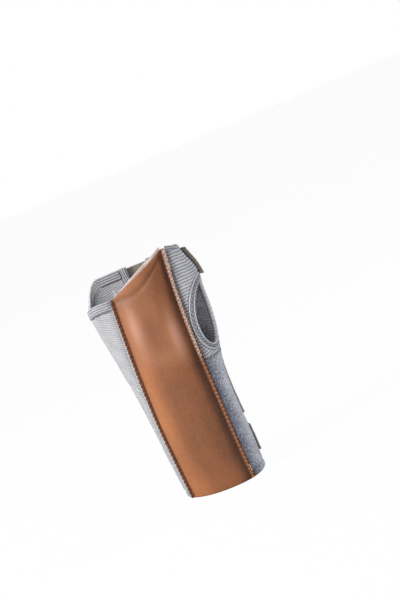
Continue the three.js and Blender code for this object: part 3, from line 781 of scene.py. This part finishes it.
def ulnar_knit():
    def spans(z):
        return 1.55 + 0 * z, tape_cloth(-1, 0.2, z)

    def heights(angle):
        return 6.3 + 0 * angle, finger_edge(-1, angle) - 8.4

    def relief(s, z, top):
        ribs = 0.2 * np.sin(2 * math.pi * ulnar_phase(s, z, top) / RIB)
        join = -0.8 * np.exp(-(((z - 103 - 0.12 * s) / 0.9) ** 2))
        tuck = 0.3 * np.exp(-(((z - 101 - 0.12 * s) / 1.2) ** 2))
        slack = 0.35 * grain(s, z, 31, 22) + 0.25 * grain(s * 0.6, z, 32, 9)
        return ribs + join + tuck + slack - 0.8 * (1 - ease(s, 1.5, 5))

    obj, flat, area = band(
        -1, "ulnar_sleeve_knit", "ulnar_knit", knit, spans, heights, (-1, 1), 0.8, relief, ulnar_phase,
        (1.0, 0.28)
    )
    on_flap(obj)


def ulnar_hems():
    def spans(z):
        return 1.55 + 0 * z, tape_cloth(-1, 0.2, z)

    def finger(angle):
        edge = finger_edge(-1, angle)
        return edge - 8, edge

    def finger_relief(s, z, top):
        rows = 0.2 * np.cos(2 * math.pi * (top - z) / 2.0)
        groove = -0.5 * np.exp(-(((top - z - 6.9) / 0.5) ** 2))
        return rows + groove + 0.2 * grain(s, z, 35, 5) - 0.6 * (1 - ease(s, 1.5, 4))

    def finger_phase(s, z, top):
        return top - z

    obj, flat, area = band(
        -1, "ulnar_finger_band", "ulnar_finger_hem", hem_knit, spans, finger, (-2.2, 1), 1.4,
        finger_relief, finger_phase, (0.7, 0.35),
    )
    on_flap(obj)

    def cuff(angle):
        return 0.0 * angle, 6 + 0 * angle

    def cuff_relief(s, z, top):
        groove = -0.35 * np.exp(-(((z - 5) / 0.5) ** 2))
        return groove + 0.15 * grain(s, z, 36, 4) - 0.6 * (1 - ease(s, 1.5, 4))

    obj, flat, area = band(
        -1, "ulnar_cuff_band", "ulnar_cuff_hem", hem_knit, spans, cuff, (-2.2, 1), 1.2, cuff_relief,
        finger_phase
    )
    on_flap(obj)


def opening_tape(side, label, cad):
    def spans(z):
        return tape_cloth(side, 0, z), cloth_to(side, back_angle(side, 9.0, z), z)

    def heights(angle):
        return 0.0 * angle, finger_edge(side, angle)

    def relief(s, z, top):
        inner_edge = cloth_to(side, back_angle(side, 9.0, z.ravel()), z.ravel()).reshape(z.shape)
        groove = -0.4 * np.exp(-(((inner_edge - s - 4.6) / 0.45) ** 2))
        return groove + 0.12 * np.cos(2 * math.pi * z / 1.6)

    def phase(s, z, top):
        return s * 1.0

    return band(side, label, cad, binding_paint, spans, heights, (-2.2, 1), 1.5, relief, phase, (0.6, 0.6))


def stay_channel(side, label, cad, paint, skin):
    """A strip of the sleeve's own cloth sewn down both sides over the flat spring."""
    near = 9 + 6 + 3
    high = finger_edge(side, back_angle(side, near, LENGTH)) - 14

    def spans(z):
        low = cloth_to(side, back_angle(side, near + 9.4, z), z)
        return low, cloth_to(side, back_angle(side, near - 1.2, z), z)

    foot = 14.0
    low = cloth_to(side, back_angle(side, near + 9.4, np.array([100.0])), np.array([100.0]))[0]
    wide = cloth_to(side, back_angle(side, near - 1.2, np.array([100.0])), np.array([100.0]))[0] - low
    across = lines(wide, 0.5, 0.4) / wide
    z = np.linspace(foot, float(high), 220)
    u, zz = np.meshgrid(across, z)
    s0, s1 = spans(zz.ravel())
    s = s0.reshape(zz.shape) + (s1 - s0).reshape(zz.shape) * u
    angle = angle_at(side, s, zz)
    hump = 2.9 * ease(u, 0.1, 0.24) * ease(1 - u, 0.1, 0.24)
    thin = 0.4 * rounded(u * wide, wide, 0.4) * rounded(zz - foot, high - foot, 0.4)
    middle = -skin - 0.75 - hump - 0.1 * np.sin(2 * math.pi * zz / 2.5) * (hump < 1)
    outer = sleeve(side, angle, middle + thin, zz)
    inner = sleeve(side, angle, middle - thin, zz)
    obj = shell(label, outer, inner, np.stack([s, zz], -1), paint)
    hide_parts(cad)
    return obj, (wide * MM, float(high - foot) * MM)


ulnar_knit()
ulnar_hems()
tape, flat, area = opening_tape(-1, "ulnar_edge_tape", "ulnar_opening_tape")
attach(tape, "ulnar_flap")
channel, flat = stay_channel(-1, "ulnar_spring_pocket", "ulnar_stay_channel", knit, 1.0)
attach(channel, "ulnar_flap")


def hem_stitches(side, label, below, z_of, s_from, s_to, pitch, body):
    """A running row of short stitches beside a hem."""
    runs = []
    for s in np.arange(s_from, s_to, pitch):
        t = np.linspace(0, 1, 5)
        cloth = s + pitch * 0.62 * t
        z = z_of(side, cloth) - below
        angle = angle_at(side, cloth, z)
        runs.append(sleeve(side, angle, 0.85 + 0.45 * np.sin(math.pi * t), z))
    obj = threads(label, runs, 0.26, grey_thread)
    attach(obj, body)
    return obj


def finger_z(side, cloth):
    return finger_edge(side, angle_at(side, cloth, np.full(np.shape(cloth), 175.0)))


hem_stitches(-1, "ulnar_hem_stitches", 6.9, finger_z, 4.0, 66.0, 2.6, "ulnar_flap")
hem_stitches(-1, "ulnar_hem_stitches_low", 7.9, finger_z, 5.2, 66.0, 2.6, "ulnar_flap")

# ---------------------------------------------------------------- knit round the thumb
# The same ribbed knit, cut with an oval thumb opening and rolled over at the finger edge. The
# opening is bound with a braided elastic tape 5.5 mm wide, folded over the raw edge.

THUMB_MIDDLE = LENGTH - 62
THUMB_HALF = (12.5, 26.0)
THUMB_CLOTH = WELT / 2 + 0.3 + 5.5 + 12.5 + 1.4
WEB_SEAM = WELT / 2 + 0.3 + 25 + 2 * (5.5 + 2.5)
WEB_RIB = 2.4
TILT = math.radians(12)


def by_thumb(theta, w):
    """Cloth and height of a point w outside the thumb opening's rim."""
    across = (THUMB_HALF[0] + w) * np.cos(theta)
    along = (THUMB_HALF[1] + w) * np.sin(theta)
    z = THUMB_MIDDLE + along * math.cos(TILT) - across * math.sin(TILT)
    return THUMB_CLOTH + along * math.sin(TILT) + across * math.cos(TILT), z


def web_phase(s, z):
    fan = 0.0035 * (z - 150) * s
    return z - 0.10 * s + fan * ease(s, 2, 14)


braid, tree = blank("braided_tape")
coords = node(tree, "ShaderNodeUVMap", {"uv_map": "cloth"}).outputs[0]
apart = node(tree, "ShaderNodeSeparateXYZ", Vector=coords)
off_middle = calc(tree, "ABSOLUTE", calc(tree, "SUBTRACT", apart.outputs[1], 2.75))
slanted = calc(tree, "MULTIPLY_ADD", off_middle, 0.5, calc(tree, "MULTIPLY", apart.outputs[0], 1 / 2.5))
chevron = calc(tree, "SINE", calc(tree, "MULTIPLY", slanted, 2 * math.pi))
rail = node(tree, "ShaderNodeMapRange", Value=off_middle, i1=1.35, i2=1.9, i3=0.0, i4=1.0)
lint = node(tree, "ShaderNodeTexNoise", Vector=coords, Scale=1.8, Detail=5.0, Roughness=0.7)
tone = calc(tree, "MULTIPLY_ADD", chevron, 0.16, calc(tree, "MULTIPLY", lint.outputs["Fac"], 0.8))
tone = calc(tree, "MULTIPLY_ADD", rail.outputs[0], 0.42, tone)
yarns = node(tree, "ShaderNodeValToRGB", Fac=tone)
yarns.color_ramp.elements[0].position = 0.22
yarns.color_ramp.elements[0].color = (0.09, 0.095, 0.125, 1)
yarns.color_ramp.elements[1].position = 0.86
yarns.color_ramp.elements[1].color = (0.66, 0.665, 0.70, 1)
rough_up = calc(tree, "MULTIPLY_ADD", chevron, 0.4, lint.outputs["Fac"])
bump = node(tree, "ShaderNodeBump", Strength=0.8, Distance=0.0004, Height=rough_up)
elastic = node(
    tree, "ShaderNodeBsdfPrincipled", Base_Color=yarns.outputs[0], Roughness=0.85, Normal=bump.outputs[0]
)
close(tree, elastic.outputs[0])


def web_knit():
    low_s = 1.55
    high_s = WEB_SEAM - 0.15
    low_z = WEB_FOOT + 0.15
    corners = []
    for s, z in ((low_s, low_z), (high_s, low_z), (low_s, 197.4), (high_s, 194.5)):
        corners.append(math.atan2(z - THUMB_MIDDLE, s - THUMB_CLOTH))
    theta_out = np.sort(np.concatenate([np.linspace(-math.pi, math.pi, 420, endpoint=False), corners]))
    dx = np.cos(theta_out)
    dz = np.sin(theta_out)
    far = np.full(dx.shape, 1e9)
    slope = (194.5 - 197.4) / (high_s - low_s)
    with np.errstate(divide="ignore", invalid="ignore"):
        far = np.where(dx < 0, np.minimum(far, (low_s - THUMB_CLOTH) / dx), far)
        far = np.where(dx > 0, np.minimum(far, (high_s - THUMB_CLOTH) / dx), far)
        far = np.where(dz < 0, np.minimum(far, (low_z - THUMB_MIDDLE) / dz), far)
        rise = 197.4 + slope * (THUMB_CLOTH - low_s) - THUMB_MIDDLE
        climb = dz - slope * dx
        far = np.where(climb > 0, np.minimum(far, rise / climb), far)
    out_s = THUMB_CLOTH + far * dx
    out_z = THUMB_MIDDLE + far * dz
    # The matching point on the rim lies in the same direction from the opening's middle.
    local = np.arctan2(
        (dz * math.cos(TILT) + dx * math.sin(TILT)) / (THUMB_HALF[1] + 5.9),
        (dx * math.cos(TILT) - dz * math.sin(TILT)) / (THUMB_HALF[0] + 5.9),
    )
    in_s, in_z = by_thumb(local, 5.9)
    v = lines(50, 0.55, 1.5) / 50
    s = in_s + (out_s - in_s) * v[:, None]
    z = in_z + (out_z - in_z) * v[:, None]
    angle = angle_at(1, s, z)
    reach = np.hypot(out_s - in_s, out_z - in_z)
    shape = rounded(v[:, None] * reach, reach, 0.8)
    phase = web_phase(s, z)
    relief = 0.3 * np.sin(2 * math.pi * phase / WEB_RIB)
    relief = relief + 0.22 * grain(s, z, 41, 9) + 0.3 * grain(s, z, 42, 25)
    relief -= 1.3 * (1 - ease(s, 1.5, 5.0))
    outer = sleeve(1, angle, (1 + relief) * shape, z)
    inner = sleeve(1, angle, (-1 + 0.3 * relief) * shape, z)
    cloth = shell("thumb_web_knit", outer, inner, np.stack([s, phase], -1), web_paint, loop=True)
    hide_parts("web_knit")
    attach(cloth, "palm_side")


def thumb_binding():
    theta = np.linspace(0, 2 * math.pi, 520, endpoint=False)
    phi = np.linspace(0, 2 * math.pi, 44, endpoint=False)
    tt, pp = np.meshgrid(theta, phi, indexing="ij")
    run = tt * 20.0
    w = 2.75 + 2.7 * power(np.cos(pp), 0.75)
    side_up = power(np.sin(pp), 0.7)
    off = -0.6 + 1.55 * side_up
    rails = np.exp(-(((w - 4.75) / 0.42) ** 2)) + np.exp(-(((w - 0.75) / 0.42) ** 2))
    plait = np.sin(2 * math.pi * (run / 2.5 + np.abs(w - 2.75) * 0.5))
    face = (side_up > 0) * side_up
    off = off + face * (0.38 * rails + 0.24 * plait * np.exp(-(((w - 2.75) / 1.5) ** 2)))
    off = off - face * 0.3 * (np.exp(-(((w - 3.9) / 0.3) ** 2)) + np.exp(-(((w - 1.6) / 0.3) ** 2)))
    s, z = by_thumb(tt, w)
    points = sleeve(1, angle_at(1, s, z), off, z)
    rows, columns = tt.shape
    faces = []
    for j in range(rows):
        n = (j + 1) % rows
        for i in range(columns):
            k = (i + 1) % columns
            faces.append([j * columns + i, j * columns + k, n * columns + k, n * columns + i])
    ring = make_mesh("thumb_hole_binding", points, faces, np.stack([run, w], -1), braid)
    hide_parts("thumb_binding")
    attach(ring, "palm_side")


def web_hem():
    def spans(z):
        return 1.55 + 0 * z, tape_cloth(1, 0.2, z)

    def heights(angle):
        edge = finger_edge(1, angle)
        return edge - 5, edge

    def relief(s, z, top):
        ribs = 0.25 * np.cos(2 * math.pi * s / 2.6)
        return 0.35 * grain(s, z, 45, 3.2) + ribs - 0.5 * (1 - ease(s, 1.5, 4))

    def phase(s, z, top):
        return top - z

    obj = band(
        1, "web_rolled_edge", "thumb_side_finger_hem", hem_knit, spans, heights, (-2.2, 1), 2.2, relief,
        phase, (0.6, 0.3),
    )[0]
    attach(obj, "palm_side")


web_knit()
thumb_binding()
web_hem()

# ---------------------------------------------------------------- thumb side wing
# Blue-grey brushed loop cloth on thin foam, the landing for the hook tabs, from the panel's seam
# round to the bound back edge. A dark overlocked join meets the knit just below the thumb.

plush, tree = blank("brushed_loop")
coords = node(tree, "ShaderNodeUVMap", {"uv_map": "cloth"}).outputs[0]
combed = node(tree, "ShaderNodeMapping", Vector=coords, Scale=(1.0, 0.45, 1.0))
tufts = node(tree, "ShaderNodeTexNoise", Vector=combed.outputs[0], Scale=1.15, Detail=5.0, Roughness=0.65)
cells = node(tree, "ShaderNodeTexVoronoi", Vector=coords, Scale=0.9)
cloud = node(tree, "ShaderNodeTexNoise", Vector=coords, Scale=0.07, Detail=3.0)
apart = node(tree, "ShaderNodeSeparateXYZ", Vector=coords)
# painted shade: the nap darkens toward the panel's seam and lightens a little away from it
crease = node(tree, "ShaderNodeMapRange", Value=apart.outputs[0], i1=1.6, i2=13.0, i3=-0.14, i4=0.03)
tone = calc(tree, "ADD", tufts.outputs["Fac"], crease.outputs[0])
tone = calc(tree, "MULTIPLY_ADD", calc(tree, "SUBTRACT", cloud.outputs["Fac"], 0.5), 0.3, tone)
nap = node(tree, "ShaderNodeValToRGB", Fac=tone)
nap.color_ramp.elements[0].position = 0.38
nap.color_ramp.elements[0].color = (0.11, 0.122, 0.175, 1)
nap.color_ramp.elements[1].position = 0.60
nap.color_ramp.elements[1].color = (0.55, 0.56, 0.62, 1)
height = calc(tree, "MULTIPLY_ADD", cells.outputs["Distance"], -0.5, tufts.outputs["Fac"])
bump = node(tree, "ShaderNodeBump", Strength=0.9, Distance=0.0007, Height=height)
fuzz = node(
    tree,
    "ShaderNodeBsdfPrincipled",
    Base_Color=nap.outputs[0],
    Roughness=1.0,
    Normal=bump.outputs[0],
    Sheen_Weight=0.45,
    Sheen_Roughness=0.6,
)
fuzz.inputs["Specular IOR Level"].default_value = 0.1
close(tree, fuzz.outputs[0])


def wing_relief(s, z, top):
    nap_up = 0.16 * grain(s, z, 51, 1.1) + 0.14 * grain(s, z, 52, 2.6)
    return nap_up + 0.4 * grain(s, z, 53, 20) - 0.9 * (1 - ease(s, 1.5, 5.5))


def thumb_side_wing():
    """Two grids: the full width below the thumb, and the strip behind the knit."""

    def low_spans(z):
        return 1.55 + 0 * z, tape_cloth(1, 0.2, z)

    def low_heights(angle):
        return 6.3 + 0 * angle, WEB_FOOT - 0.15 + 0 * angle

    def phase(s, z, top):
        return z

    obj, flat, area = band(
        1, "thumb_wing_cloth", "thumb_side_wing", plush, low_spans, low_heights, (-1.4, 1), 0.9,
        wing_relief, phase,
        (0.75, 0.55),
    )
    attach(obj, "palm_side")

    def high_spans(z):
        return WEB_SEAM + 0.15 + 0 * z, tape_cloth(1, 0.2, z)

    def high_heights(angle):
        return WEB_FOOT - 0.4 + 0 * angle, finger_edge(1, angle) - 5.4

    obj, flat, area = band(
        1, "thumb_wing_back", "thumb_side_wing", plush, high_spans, high_heights, (-1.4, 1), 0.5,
        wing_relief, phase,
        (0.75, 0.55),
    )
    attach(obj, "palm_side")

    def cuff(angle):
        return 0.0 * angle, 6 + 0 * angle

    def cuff_relief(s, z, top):
        groove = -0.35 * np.exp(-(((z - 5) / 0.5) ** 2))
        return groove + 0.2 * grain(s, z, 56, 2) - 0.6 * (1 - ease(s, 1.5, 4))

    obj, flat, area = band(
        1, "thumb_cuff_band", "thumb_side_cuff_hem", plush, low_spans, cuff, (-2.2, 1), 1.2, cuff_relief,
        phase
    )
    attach(obj, "palm_side")


thumb_side_wing()
tape, flat, area = opening_tape(1, "thumb_edge_tape", "thumb_side_opening_tape")
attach(tape, "palm_side")
channel, flat = stay_channel(1, "thumb_spring_pocket", "thumb_side_stay_channel", plush, 1.4)
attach(channel, "palm_side")


def join_z(side, cloth):
    return WEB_FOOT + 0 * cloth


hem_stitches(1, "wing_join_stitches", 0.3, join_z, 2.5, WEB_SEAM, 1.9, "palm_side")

# ---------------------------------------------------------------- straps
# Taupe loop webbing, 25 and 50 mm wide, box-stitched to the little finger side of the back and
# laid across the opening. Each ends in a hook tab that grips the brushed wing on the thumb side.

webbing, tree = blank("loop_webbing")
coords = node(tree, "ShaderNodeUVMap", {"uv_map": "cloth"}).outputs[0]
apart = node(tree, "ShaderNodeSeparateXYZ", Vector=coords)
weft = calc(tree, "SINE", calc(tree, "MULTIPLY", apart.outputs[0], 2 * math.pi / 1.1))
warp = calc(tree, "SINE", calc(tree, "MULTIPLY", apart.outputs[1], 2 * math.pi / 1.4))
weave = calc(tree, "MULTIPLY", weft, warp)
tufts = node(tree, "ShaderNodeTexNoise", Vector=coords, Scale=1.4, Detail=5.0, Roughness=0.7)
tone = calc(tree, "MULTIPLY_ADD", weave, 0.07, tufts.outputs["Fac"])
web_tint = node(tree, "ShaderNodeValToRGB", Fac=tone)
web_tint.color_ramp.elements[0].position = 0.3
web_tint.color_ramp.elements[0].color = (0.20, 0.165, 0.125, 1)
web_tint.color_ramp.elements[1].position = 0.7
web_tint.color_ramp.elements[1].color = (0.41, 0.355, 0.29, 1)
height = calc(tree, "MULTIPLY_ADD", weave, 0.5, tufts.outputs["Fac"])
bump = node(tree, "ShaderNodeBump", Strength=0.8, Distance=0.0005, Height=height)
loops = node(
    tree,
    "ShaderNodeBsdfPrincipled",
    Base_Color=web_tint.outputs[0],
    Roughness=0.95,
    Normal=bump.outputs[0],
    Sheen_Weight=0.2,
    Sheen_Roughness=0.5,
)
close(tree, loops.outputs[0])

hooks, tree = blank("hook_tape")
coords = node(tree, "ShaderNodeUVMap", {"uv_map": "cloth"}).outputs[0]
cells = node(tree, "ShaderNodeTexVoronoi", Vector=coords, Scale=1.1)
cells.inputs["Randomness"].default_value = 0.25
tint = node(tree, "ShaderNodeValToRGB", Fac=cells.outputs["Distance"])
tint.color_ramp.elements[0].color = (0.34, 0.30, 0.25, 1)
tint.color_ramp.elements[1].position = 0.6
tint.color_ramp.elements[1].color = (0.15, 0.125, 0.10, 1)
bump = node(tree, "ShaderNodeBump", Strength=1.0, Distance=0.0006, Height=cells.outputs["Distance"])
bristle = node(
    tree, "ShaderNodeBsdfPrincipled", Base_Color=tint.outputs[0], Roughness=0.55, Normal=bump.outputs[0]
)
close(tree, bristle.outputs[0])


def over_back(turn, offset, z):
    """turn is the angle from the middle of the back, positive to the thumb side."""
    left = sleeve(-1, math.pi - np.abs(turn), offset, z)
    right = sleeve(1, math.pi - np.abs(turn), offset, z)
    return np.where((turn < 0)[..., None], left, right)


def strap(name, low, wide, end, lift):
    middle = np.array([low + wide / 2])
    peel = -(math.pi - back_angle(-1, 15.0, middle))[0]
    root = peel - 22 / section(-1, middle)[0][0]
    end_turn = math.pi - math.radians(end)
    hook_turn = end_turn - 30 / section(1, middle)[0][0]
    samples = np.linspace(root, end_turn, 1500)
    at = over_back(samples, np.full(1500, 2.2), np.full(1500, middle[0])) / MM
    run = np.concatenate([[0], np.cumsum(np.linalg.norm(np.diff(at, axis=0), axis=1))])
    long = run[-1]
    along = lines(long, 0.8, 0.8)
    across = lines(wide, 0.8, 0.8)
    aa, ww = np.meshgrid(along, across)
    turn = np.interp(aa, run, samples)
    z = low + ww
    rise = 1.35 * ease(turn, peel - 0.02, peel + 0.16) + lift * ease(turn, hook_turn, end_turn)
    shape = rounded(aa, long, 0.8) * rounded(ww, wide, 0.8)
    pile = 0.1 * grain(aa, ww, 61, 0.9) + 0.18 * grain(aa, ww, 62, 7)
    selvedge = 0.16 * np.exp(-(((np.minimum(ww, wide - ww) - 1.4) / 0.5) ** 2))
    sewn = -0.35 * np.exp(-(((aa - 3.0) / 0.5) ** 2)) - 0.35 * np.exp(-(((aa - 18.0) / 0.5) ** 2))
    outer = over_back(turn, 2.2 + rise + (0.9 + pile + selvedge + sewn) * shape, z)
    inner = over_back(turn, 2.2 + rise - 0.88 * shape, z)
    obj = shell(name + "_web", outer, inner, np.stack([aa, ww], -1), webbing)
    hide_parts(name, name + "_base")
    bend = over_back(np.array([peel - 0.02, peel + 0.22]), np.array([4.0, 4.0]), np.array([middle[0]] * 2))
    start = bend[0].tolist()
    stop = bend[1].tolist()
    stop[1] = start[1]
    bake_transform(obj)

    # Hook tape under the free end.
    first = np.interp(hook_turn, samples, run)
    tab = lines(long - first, 0.8, 0.4)
    aa, ww = np.meshgrid(first + tab, lines(wide - 2, 0.8, 0.4))
    turn = np.interp(aa, run, samples)
    z = low + 1 + ww
    rise = lift * ease(turn, hook_turn, end_turn)
    shape = rounded(aa - first, long - first, 0.4) * rounded(ww, wide - 2, 0.4)
    outer = over_back(turn, 1.85 + rise + 0.5 * shape, z)
    inner = over_back(turn, 1.85 + rise - 0.5 * shape, z)
    hook = shell(name + "_hook_tape", outer, inner, np.stack([aa, ww], -1), hooks)
    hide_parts(name + "_hook")
    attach(hook, name)

    # Box stitching at the sewn end and a double row at the tab.
    def row(a0, b0, a1, b1, offset, pitch=2.3):
        length = math.hypot(a1 - a0, b1 - b0)
        runs = []
        for k in range(int(length / pitch)):
            t = (k * pitch + np.linspace(0, 1.5, 5)) / length
            a = a0 + (a1 - a0) * t
            b = low + b0 + (b1 - b0) * t
            turn_k = np.interp(a, run, samples)
            extra = lift * ease(turn_k, hook_turn, end_turn)
            arch = 0.18 * np.sin(math.pi * np.linspace(0, 1, 5))
            runs.append(over_back(turn_k, offset + extra + arch, b))
        return runs

    box = row(3, 3, 18, 3, 3.1) + row(3, wide - 3, 18, wide - 3, 3.1) + row(3, 3, 3, wide - 3, 3.0)
    box += row(18, 3, 18, wide - 3, 3.0) + row(3, 3, 18, wide - 3, 3.15) + row(3, wide - 3, 18, 3, 3.15)
    base_rows = threads(name + "_box_stitches", box, 0.24, grey_thread)
    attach(base_rows, "ulnar_flap")
    tab_rows = row(first + 2, 2.2, first + 2, wide - 2.2, 4.5)
    tab_rows = tab_rows + row(long - 2.4, 2.2, long - 2.4, wide - 2.2, 4.5)
    ends = threads(name + "_tab_stitches", tab_rows, 0.24, grey_thread)
    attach(ends, name)


strap("hand_strap", LENGTH - 35, 25, 106, 1.6)
strap("wrist_strap", 2 * (WEB_FOOT - 75) / 3 + 25, 50, 120, 0.5)
strap("forearm_strap", (WEB_FOOT - 75) / 3, 25, 120, 0.6)

# ---------------------------------------------------------------- stays
# A bent aluminium strip with dipped vinyl ends slides in the palm pocket. Two flat springs of zinc
# coated steel stay sewn into their channels beside the back opening.


def metal_paint(name, low, high, rough, stretch):
    made, tree = blank(name)
    where = node(tree, "ShaderNodeTexCoord").outputs["Object"]
    drawn = node(tree, "ShaderNodeMapping", Vector=where, Scale=stretch)
    marks = node(tree, "ShaderNodeTexNoise", Vector=drawn.outputs[0], Scale=1.0, Detail=6.0)
    tint = node(tree, "ShaderNodeValToRGB", Fac=marks.outputs["Fac"])
    tint.color_ramp.elements[0].color = (*low, 1)
    tint.color_ramp.elements[1].color = (*high, 1)
    dull = node(
        tree, "ShaderNodeMapRange", Value=marks.outputs["Fac"], i1=0.3, i2=0.7, i3=rough, i4=rough + 0.18
    )
    bump = node(tree, "ShaderNodeBump", Strength=0.2, Distance=0.0001, Height=marks.outputs["Fac"])
    metal = node(
        tree, "ShaderNodeBsdfPrincipled", Base_Color=tint.outputs[0], Roughness=dull.outputs[0],
        Normal=bump.outputs[0]
    )
    metal.inputs["Metallic"].default_value = 1.0
    close(tree, metal.outputs[0])
    return made


def repaint(node_name, paint, bevel=0.0):
    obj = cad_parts[node_name]
    obj.data.materials.clear()
    obj.data.materials.append(paint)
    if bevel:
        rim = obj.modifiers.new("rim", "BEVEL")
        rim.width = bevel
        rim.segments = 3
        rim.limit_method = "ANGLE"
        rim.angle_limit = math.radians(50)
    return obj


aluminium = metal_paint("mill_aluminium", (0.36, 0.37, 0.38), (0.56, 0.57, 0.58), 0.32, (900.0, 900.0, 25.0))
steel = metal_paint("zinc_coil", (0.40, 0.41, 0.42), (0.66, 0.67, 0.68), 0.25, (60.0, 60.0, 1400.0))
vinyl, tree = blank("dipped_vinyl")
where = node(tree, "ShaderNodeTexCoord").outputs["Object"]
drips = node(tree, "ShaderNodeTexNoise", Vector=where, Scale=160.0, Detail=4.0)
tint = node(tree, "ShaderNodeValToRGB", Fac=drips.outputs["Fac"])
tint.color_ramp.elements[0].color = (0.012, 0.012, 0.014, 1)
tint.color_ramp.elements[1].color = (0.035, 0.035, 0.04, 1)
bump = node(tree, "ShaderNodeBump", Strength=0.3, Distance=0.0003, Height=drips.outputs["Fac"])
dip = node(
    tree, "ShaderNodeBsdfPrincipled", Base_Color=tint.outputs[0], Roughness=0.42, Normal=bump.outputs[0]
)
close(tree, dip.outputs[0])

repaint("palmar_stay", aluminium, 0.0004)
repaint("stay_cap_cuff_end", vinyl, 0.0002)
repaint("stay_cap_finger_end", vinyl, 0.0002)
repaint("ulnar_spring_stay", steel, 0.0003)
repaint("thumb_side_spring_stay", steel, 0.0003)
